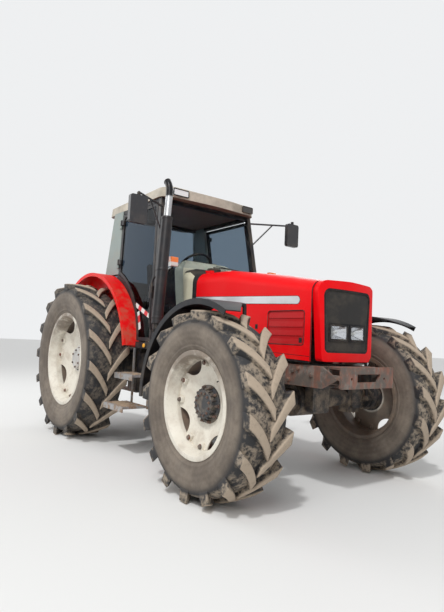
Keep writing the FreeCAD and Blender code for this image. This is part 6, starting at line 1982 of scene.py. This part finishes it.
@dataclass
class Cushion:
    """Padded seat piece, swelled by a short cloth simulation."""

    bench: Bench
    name: str
    outline: list[tuple[float, float, float]]     # side outline x, z, corner radius
    half_width: float
    inset: float = 12.0
    voxel: float = 7.0
    cap: float = 14.0
    frames: int = 20
    channels: tuple[float, ...] = (-120.0, 120.0)

    def start(self) -> bpy.types.Object:
        """Cut the foam: the outline with its width, round at the edges."""
        corners = rounded(self.outline, 4)
        half = self.half_width - self.inset
        piece = start_plate(self.name, [at(x, -half, z) for x, z in corners],
                            Vector((0.0, 2 * half * MILLIMETRE, 0.0)))
        apply_modifier(piece, "BEVEL", width=0.030, segments=4, limit_method="ANGLE",
                       angle_limit=math.radians(50.0))
        apply_modifier(piece, "REMESH", mode="VOXEL", voxel_size=self.voxel * MILLIMETRE)
        return piece

    def swell(self, piece: bpy.types.Object) -> None:
        """Blow the cover up like cloth and keep it near the foam.

        Args:
            piece: The remeshed foam.
        """
        before = [vertex.co.copy() for vertex in piece.data.vertices]
        modifier = piece.modifiers.new("cloth", "CLOTH")
        settings = modifier.settings
        settings.use_pressure = True
        settings.uniform_pressure_force = 4.0
        settings.effector_weights.gravity = 0.0
        modifier.point_cache.frame_start = 1
        modifier.point_cache.frame_end = self.frames
        for step in range(1, self.frames + 1):
            bpy.context.scene.frame_set(step)
        activate(piece)
        bpy.ops.object.modifier_apply(modifier="cloth")
        bpy.context.scene.frame_set(1)
        limit = self.cap * MILLIMETRE
        for vertex, start in zip(piece.data.vertices, before):
            moved = vertex.co - start
            if moved.length > limit:
                vertex.co = start + moved.normalized() * limit

    def sew(self, piece: bpy.types.Object) -> None:
        """Press the sewn channels into the swelled cover.

        Args:
            piece: The cushion.
        """
        middle = sum((vertex.co for vertex in piece.data.vertices), Vector()) / len(piece.data.vertices)
        for vertex in piece.data.vertices:
            depth = 0.0
            for y in self.channels:
                off = (vertex.co.y / MILLIMETRE - y) / 8.0
                depth = max(depth, 8.0 * math.exp(-off * off))
            inward = middle - vertex.co
            inward.y = 0.0
            vertex.co += inward.normalized() * depth * MILLIMETRE

    def build(self) -> None:
        """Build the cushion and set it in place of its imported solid."""
        piece = self.start()
        self.swell(piece)
        self.sew(piece)
        apply_modifier(piece, "SUBSURF", levels=1, render_levels=1)
        self.bench.finish(piece, "chassis", "seat_cloth", angle=80.0, replaces=(self.name.replace("soft_", ""),))


@dataclass
class CabInside:
    """Steering wheel, seat, instruments and levers."""

    bench: Bench
    wheel_x: float = 930.0
    wheel_z: float = 1905.0
    rise: float = math.radians(44.1)
    ring: float = 190.0

    def steering(self) -> None:
        """Build the steering wheel with its spokes, boss and column."""
        centre = at(self.wheel_x, 0.0, self.wheel_z)
        axis = Vector((-math.cos(self.rise), 0.0, math.sin(self.rise)))
        side = Vector((0.0, 1.0, 0.0))
        up = axis.cross(side)
        ring = start_ring("ring", centre, axis, self.ring * MILLIMETRE, 0.0135, 72, 14)
        boss = start_rod("boss", centre - axis * 0.020, centre + axis * 0.012, 0.046, 32, 0.036)
        column = start_rod("column", centre - axis * 0.200, centre - axis * 0.015, 0.033, 28, 0.028)
        pieces = [ring, boss, column]
        for turn in (math.radians(90), math.radians(210), math.radians(330)):
            out = side * math.cos(turn) + up * math.sin(turn)
            pieces.append(start_rod("spoke", centre + out * 0.03 - axis * 0.006,
                                    centre + out * (self.ring - 6) * MILLIMETRE, 0.011, 12, 0.008))
        self.bench.finish(joined("steering", pieces), "chassis", "trim_black", edge=2.0, angle=50.0,
                          replaces=("steering_wheel",))

    def seat(self) -> None:
        """Build the cushion and the backrest."""
        Cushion(self.bench, "soft_seat_cushion",
                [(388.0, 1392.0, 20), (812.0, 1392.0, 20), (812.0, 1478.0, 34), (388.0, 1478.0, 20)],
                240.0).build()
        Cushion(self.bench, "soft_seat_backrest",
                [(272.0, 1404.0, 20), (356.0, 1404.0, 10), (356.0, 1478.0, 30), (292.0, 1992.0, 36),
                 (196.0, 1992.0, 36)], 225.0, channels=(-110.0, 110.0)).build()

    def levers(self) -> None:
        """Stand the levers on the console beside the seat."""
        pieces = []
        for x, y, lean, tall in ((640.0, -380.0, 30.0, 150.0), (560.0, -380.0, 10.0, 120.0),
                                 (620.0, -450.0, -10.0, 130.0), (540.0, -450.0, -20.0, 110.0),
                                 (460.0, -420.0, 15.0, 90.0)):
            foot_z = 1405.0 if x < 700 else 1330.0
            foot, head = at(x, y, foot_z), at(x + lean, y, foot_z + tall)
            pieces.append(start_rod("stem", foot, head, 0.006, 12, 0.005))
            knob = start_rod("knob", head, head + (head - foot).normalized() * 0.042, 0.013, 20, 0.018)
            pieces.append(knob)
        self.bench.finish(joined("levers", pieces), "chassis", "trim_black", edge=4.0, steps=3, angle=60.0)

    def instruments(self) -> None:
        """Set the instrument pod with its dials into the dashboard's top."""
        pod = start_cube("pod", at(1048.0, -150.0, 1868.0), at(1092.0, 150.0, 1946.0))
        for vertex in pod.data.vertices:
            vertex.co.x += (vertex.co.z - 1.868) * 0.55
        with editing(pod):
            pick(pod, lambda middle, normal: normal.x < -0.5)
            bpy.ops.mesh.inset(thickness=0.008, depth=-0.006)
        self.bench.finish(pod, "chassis", "trim_black", edge=3.0)
        dials = []
        tilt = Vector((-1.0, 0.0, 0.55)).normalized()
        for y, radius in ((-92.0, 0.028), (0.0, 0.034), (92.0, 0.028)):
            middle = at(1048.0 + 42.0 * 0.55, y, 1910.0) + tilt * 0.0005
            dials.append(start_ring("bezel", middle, tilt, radius, 0.0025, 40, 8))
            dials.append(start_rod("face", middle - tilt * 0.003, middle + tilt * 0.001, radius, 40))
        self.bench.finish(joined("dials", dials), "chassis", "dial_grey", edge=0.5)

    def build(self) -> None:
        """Build everything in the cab."""
        self.steering()
        self.seat()
        self.levers()
        self.instruments()


# Steps, exhaust, mirrors and the rear

@dataclass
class Outfit:
    """What is bolted to the outside: step treads, exhaust fittings, mirror glasses, tank caps."""

    bench: Bench
    exhaust_low: Point = (1550.0, -800.0, 1190.0)
    exhaust_high: Point = (1476.0, -706.0, 2250.0)
    mirror_x: float = 1430.0
    mirror_y: float = 990.0

    def treads(self) -> None:
        """Weld saw-edged grips on the steps."""
        grips = []
        for z, x0, x1, y0, y1 in ((762.0, 960.0, 1330.0, 690.0, 900.0), (477.0, 940.0, 1340.0, 740.0, 985.0)):
            for i in range(7):
                y = y0 + 14 + (y1 - y0 - 28) * i / 6
                grip = start_cube("grip", at(x0 + 10, y - 2, z - 1), at(x1 - 10, y + 2, z + 5))
                with editing(grip):
                    count = 24
                    for k in range(1, count):
                        bpy.ops.mesh.select_all(action="SELECT")
                        x = x0 + 10 + (x1 - x0 - 20) * k / count
                        bpy.ops.mesh.bisect(plane_co=at(x, y, z), plane_no=(1.0, 0.0, 0.0))
                for vertex in grip.data.vertices:
                    step = round((vertex.co.x - at(x0 + 10, 0, 0).x) / ((x1 - x0 - 20) * MILLIMETRE) * count)
                    if vertex.co.z > (z + 3) * MILLIMETRE and step % 2:
                        vertex.co.z -= 0.0035
                grips.append(grip)
        self.bench.pair(joined("grips", grips), "step_grips", "chassis", "step_metal")

    def clods(self) -> None:
        """Lay flat lumps of dried mud on the treads."""
        lumps = []
        table = [
            # x, y, z, length, width, height
            (1060.0, 800.0, 762.0, 85.0, 60.0, 9.0), (1190.0, 760.0, 762.0, 100.0, 48.0, 8.0),
            (1270.0, 840.0, 762.0, 45.0, 40.0, 7.0), (1010.0, 860.0, 477.0, 62.0, 75.0, 8.0),
            (1150.0, 890.0, 477.0, 120.0, 66.0, 10.0), (1275.0, 930.0, 477.0, 52.0, 40.0, 7.0),
        ]
        for x, y, z, length, width, height in table:
            deselect()
            bpy.ops.mesh.primitive_uv_sphere_add(segments=28, ring_count=12, radius=1.0)
            lump = bpy.context.object
            for vertex in lump.data.vertices:
                a, b, c = vertex.co
                turn = math.atan2(b, a)
                wobble = 1 + 0.16 * math.sin(3 * turn + x) + 0.10 * math.sin(7 * turn + y)
                grit = 1 + 0.25 * math.sin(9 * a + x) * math.sin(8 * b + y)
                vertex.co = at(x + a * wobble * length, y + b * wobble * width,
                               z - 1.5 + max(c, -0.12) * height * grit)
            lumps.append(lump)
        self.bench.pair(joined("clods", lumps), "step_mud", "chassis", "dried_mud", angle=60.0)

    def along(self, share: float) -> Vector:
        """Point on the exhaust's line."""
        return at(*self.exhaust_low).lerp(at(*self.exhaust_high), share)

    def exhaust(self) -> None:
        """Band the sleeve, bolt its clamp and roll the lip of the tip."""
        axis = (self.along(1.0) - self.along(0.0)).normalized()
        bands = []
        for share in (0.10, 0.52, 0.985):
            middle = self.along(share)
            bands.append(start_rod("band", middle - axis * 0.011, middle + axis * 0.011, 0.0555, 40))
            out = Vector((-1.0, -0.6, 0.0)).normalized()
            bands.append(hex_bolt("bolt", middle + out * 0.055, out, 15.0, 9.0))
        self.bench.finish(joined("exhaust_bands", bands), "chassis", "exhaust_black", edge=1.2)
        top = self.along(1.235)
        centre = top - Vector((0.150, 0.0, 0.0))
        turn = math.radians(48)
        end = centre + Vector((math.cos(turn), 0.0, math.sin(turn))) * 0.150
        facing = Vector((-math.sin(turn), 0.0, math.cos(turn)))
        lip = start_ring("lip", end, facing, 0.0335, 0.0025, 40, 10)
        self.bench.finish(lip, "chassis", "exhaust_black", angle=60.0)
        bore = start_rod("bore", end - facing * 0.004, end + facing * 0.0006, 0.0315, 36)
        self.bench.finish(bore, "chassis", "soot")

    def mirror_glasses(self) -> None:
        """Set the mirror glasses and their rims into the backs of the cases."""
        for hand, z in ((Hand.LEFT, 2360.0), (Hand.RIGHT, 2280.0)):
            y = hand.value * self.mirror_y
            corners = rounded([(y - 78, z - 120, 18), (y + 78, z - 120, 18), (y + 78, z + 120, 18),
                               (y - 78, z + 120, 18)], 6)
            x = self.mirror_x - 25
            glass = start_plate("glass", [at(x + 1, a, b) for a, b in corners], Vector((-0.0025, 0.0, 0.0)))
            self.bench.finish(glass, "chassis", "mirror_metal", edge=0.6).name = "mirror_glass_" + hand.word
            rim = start_tube("rim", [at(x - 1, a, b) for a, b in corners], 0.0045, closed=True, straight=True)
            rim.name = "mirror_rim_" + hand.word
            self.bench.finish(rim, "chassis", "seal_black", angle=60.0)
            clamp = start_rod("clamp", at(self.mirror_x, y, z + 128), at(self.mirror_x, y, z + 160), 0.017, 24)
            clamp.name = "mirror_clamp_" + hand.word
            self.bench.finish(clamp, "chassis", "seal_black", edge=3.0)

    def tanks(self) -> None:
        """Fit the fuel cap and the straps of both tanks."""
        cap = start_rod("cap", at(1400.0, 560.0, 955.0), at(1400.0, 560.0, 992.0), 0.045, 40)
        with editing(cap):
            pick(cap, lambda middle, normal: normal.z > 0.9)
            bpy.ops.mesh.inset(thickness=0.010, depth=0.006)
        self.bench.finish(cap, "chassis", "seal_black", edge=3.0)
        straps = []
        for x in (1010.0, 1350.0):
            loop = rounded([(328.0, 518.0, 62), (642.0, 518.0, 62), (642.0, 962.0, 52), (328.0, 962.0, 52)], 6)
            points = [at(x, y, z) for y, z in loop]
            straps.append(start_band("strap", points + points[:1], Vector((0.034, 0.0, 0.0)), 0.003))
        self.bench.finish(joined("tank_straps", straps), "chassis", "worn_steel")

    def build(self) -> None:
        """Build all that is bolted on."""
        self.treads()
        self.clods()
        self.exhaust()
        self.mirror_glasses()
        self.tanks()


@dataclass
class RearEnd:
    """Pins of the linkage, hydraulic couplers and the guard of the power take-off."""

    bench: Bench

    def couplers(self) -> None:
        """Set two rows of hydraulic couplers with their caps on the lift housing."""
        for name, row, finish in (("coupler_left", (110.0, 160.0), "cap_blue"),
                                  ("coupler_right", (-110.0, -160.0), "cap_red")):
            bodies, caps = [], []
            for y in row:
                bodies.append(start_rod("body", at(-300.0, y, 1030.0), at(-330.0, y, 1030.0), 0.019, 6))
                caps.append(start_rod("cap", at(-328.0, y, 1030.0), at(-352.0, y, 1030.0), 0.016, 28, 0.013))
            self.bench.finish(joined(name, bodies), "chassis", "bolt_dark", edge=1.0)
            self.bench.finish(joined(name + "_caps", caps), "chassis", finish, edge=2.0)

    def pins(self) -> None:
        """Set the heads of the lower links' pivots and of the lift arms' pins."""
        heads = []
        for x, y, z in ((-290.0, 302.0, 470.0), (-290.0, 222.0, 470.0)):
            side = 1.0 if y > 262 else -1.0
            heads.append(start_rod("head", at(x, y, z), at(x, y + side * 7, z), 0.026, 28))
        self.bench.pair(joined("heads", heads), "pivot_heads", "chassis", "bolt_rust", edge=1.5)
        heads = []
        for side in (1.0, -1.0):
            y = 300.0 + side * 38.0
            heads.append(start_rod("head", at(-600.0, y, 1100.0), at(-600.0, y + side * 6, 1100.0), 0.019, 24))
        self.bench.pair(joined("heads", heads), "lift_pin_heads", "lift_rods", "bolt_rust", edge=1.2)

    def guard(self) -> None:
        """Bend the guard over the power take-off shaft."""
        arc = [(90 * math.cos(math.radians(t)), 640.0 + 90 * math.sin(math.radians(t)))
               for t in range(-10, 191, 10)]
        piece = start_band("shaft_guard", [at(-326.0, y, z) for y, z in arc], Vector((-0.110, 0.0, 0.0)), 0.004)
        self.bench.finish(piece, "chassis", "seal_black", angle=40.0)

    def build(self) -> None:
        """Build the rear fittings."""
        self.couplers()
        self.pins()
        self.guard()


# Floor, light and camera

@dataclass(frozen=True)
class Studio:
    """Plain pale floor, soft lamps and the photograph's camera."""

    floor_half: float = 60.0
    floor_colour: Colour = (0.80, 0.80, 0.79)
    backdrop: Colour = (0.86, 0.87, 0.88)
    camera_place: Point = (5485.0, -3067.0, 1129.0)
    yaw: float = 2.49
    pitch: float = 0.067
    roll: float = 0.047
    focal_pixels: float = 498.244
    picture: tuple[int, int] = (444, 612)
    sensor: float = 36.0

    def floor(self) -> None:
        """Lay the floor."""
        bpy.ops.object.select_all(action="DESELECT")
        bpy.ops.mesh.primitive_plane_add(size=2 * self.floor_half, location=(0.0, 0.0, 0.0))
        floor = bpy.context.object
        floor.name = "floor"
        material, _, shader = new_material("floor_pale")
        shader.inputs["Base Color"].default_value = (*self.floor_colour, 1.0)
        shader.inputs["Roughness"].default_value = 0.9
        floor.data.materials.append(material)

    def world(self) -> None:
        """Set an even pale sky that lights less than it shows."""
        world = bpy.data.worlds.new("studio")
        bpy.context.scene.world = world
        world.use_nodes = True
        tree = world.node_tree
        background = tree.nodes["Background"]
        background.inputs["Color"].default_value = (*self.backdrop, 1.0)
        path = tree.nodes.new("ShaderNodeLightPath")
        seen = arithmetic(tree, "MAXIMUM", path.outputs["Is Camera Ray"], path.outputs["Is Glossy Ray"])
        seen = arithmetic(tree, "MAXIMUM", seen, path.outputs["Is Transmission Ray"])
        strength = arithmetic(tree, "ADD", 0.50, arithmetic(tree, "MULTIPLY", seen, 0.50))
        link(tree, strength, background.inputs["Strength"])

    def lamps(self) -> None:
        """Hang a broad key lamp, a fill lamp and a soft sun."""
        table = [
            # name, place, target, size, power
            ("key", (5.5, -6.0, 6.5), (0.3, 0.0, 1.0), 5.0, 330.0),
            ("fill", (-6.5, -5.0, 4.5), (-0.5, 0.0, 1.2), 5.0, 150.0),
            ("back", (-4.0, 6.5, 6.0), (0.0, 0.0, 1.2), 5.0, 150.0),
        ]
        for name, place, target, size, power in table:
            data = bpy.data.lights.new(name, "AREA")
            data.size = size
            data.energy = power
            lamp = bpy.data.objects.new(name, data)
            bpy.context.scene.collection.objects.link(lamp)
            lamp.location = place
            aim = Vector(target) - Vector(place)
            lamp.rotation_euler = aim.to_track_quat("-Z", "Y").to_euler()
        sun = bpy.data.lights.new("sun", "SUN")
        sun.energy = 1.2
        sun.angle = 0.06
        lamp = bpy.data.objects.new("sun", sun)
        bpy.context.scene.collection.objects.link(lamp)
        lamp.rotation_euler = Vector((-0.35, 0.55, -0.9)).to_track_quat("-Z", "Y").to_euler()

    def camera(self) -> None:
        """Stand the camera where the photographer stood."""
        forward = Vector((math.cos(self.yaw) * math.cos(self.pitch),
                          math.sin(self.yaw) * math.cos(self.pitch), math.sin(self.pitch)))
        right = Vector((math.sin(self.yaw), -math.cos(self.yaw), 0.0))
        up = right.cross(forward)
        across = right * math.cos(self.roll) + up * math.sin(self.roll)
        rise = up * math.cos(self.roll) - right * math.sin(self.roll)
        data = bpy.data.cameras.new("camera")
        data.sensor_width = self.sensor
        data.lens = self.focal_pixels / max(self.picture) * self.sensor
        camera = bpy.data.objects.new("camera", data)
        bpy.context.scene.collection.objects.link(camera)
        camera.matrix_world = Matrix.Translation(at(*self.camera_place)) @ Matrix(
            (across, rise, -forward)).transposed().to_4x4()
        bpy.context.scene.camera = camera

    def build(self) -> None:
        """Set up the whole studio."""
        self.floor()
        self.world()
        self.lamps()
        self.camera()
        bpy.context.scene.view_settings.view_transform = "Standard"
        LOG.info("studio")


def main() -> None:
    """Build the tractor's looks and the studio in order."""
    logging.basicConfig(level=logging.INFO, format="%(message)s")
    shop = Paintshop()
    shop.mix()
    shop.dress_nodes()
    bench = Bench(shop)
    for size in WHEELS:
        Wheel(bench, size).build()
    for part in (HoodTrim, FrontEnd, CabTrim, CabInside, Outfit, RearEnd):
        part(bench).build()
        LOG.info("%s done, %d pieces so far", part.__name__, bench.count)
    Studio().build()


if __name__ == "__main__":
    main()
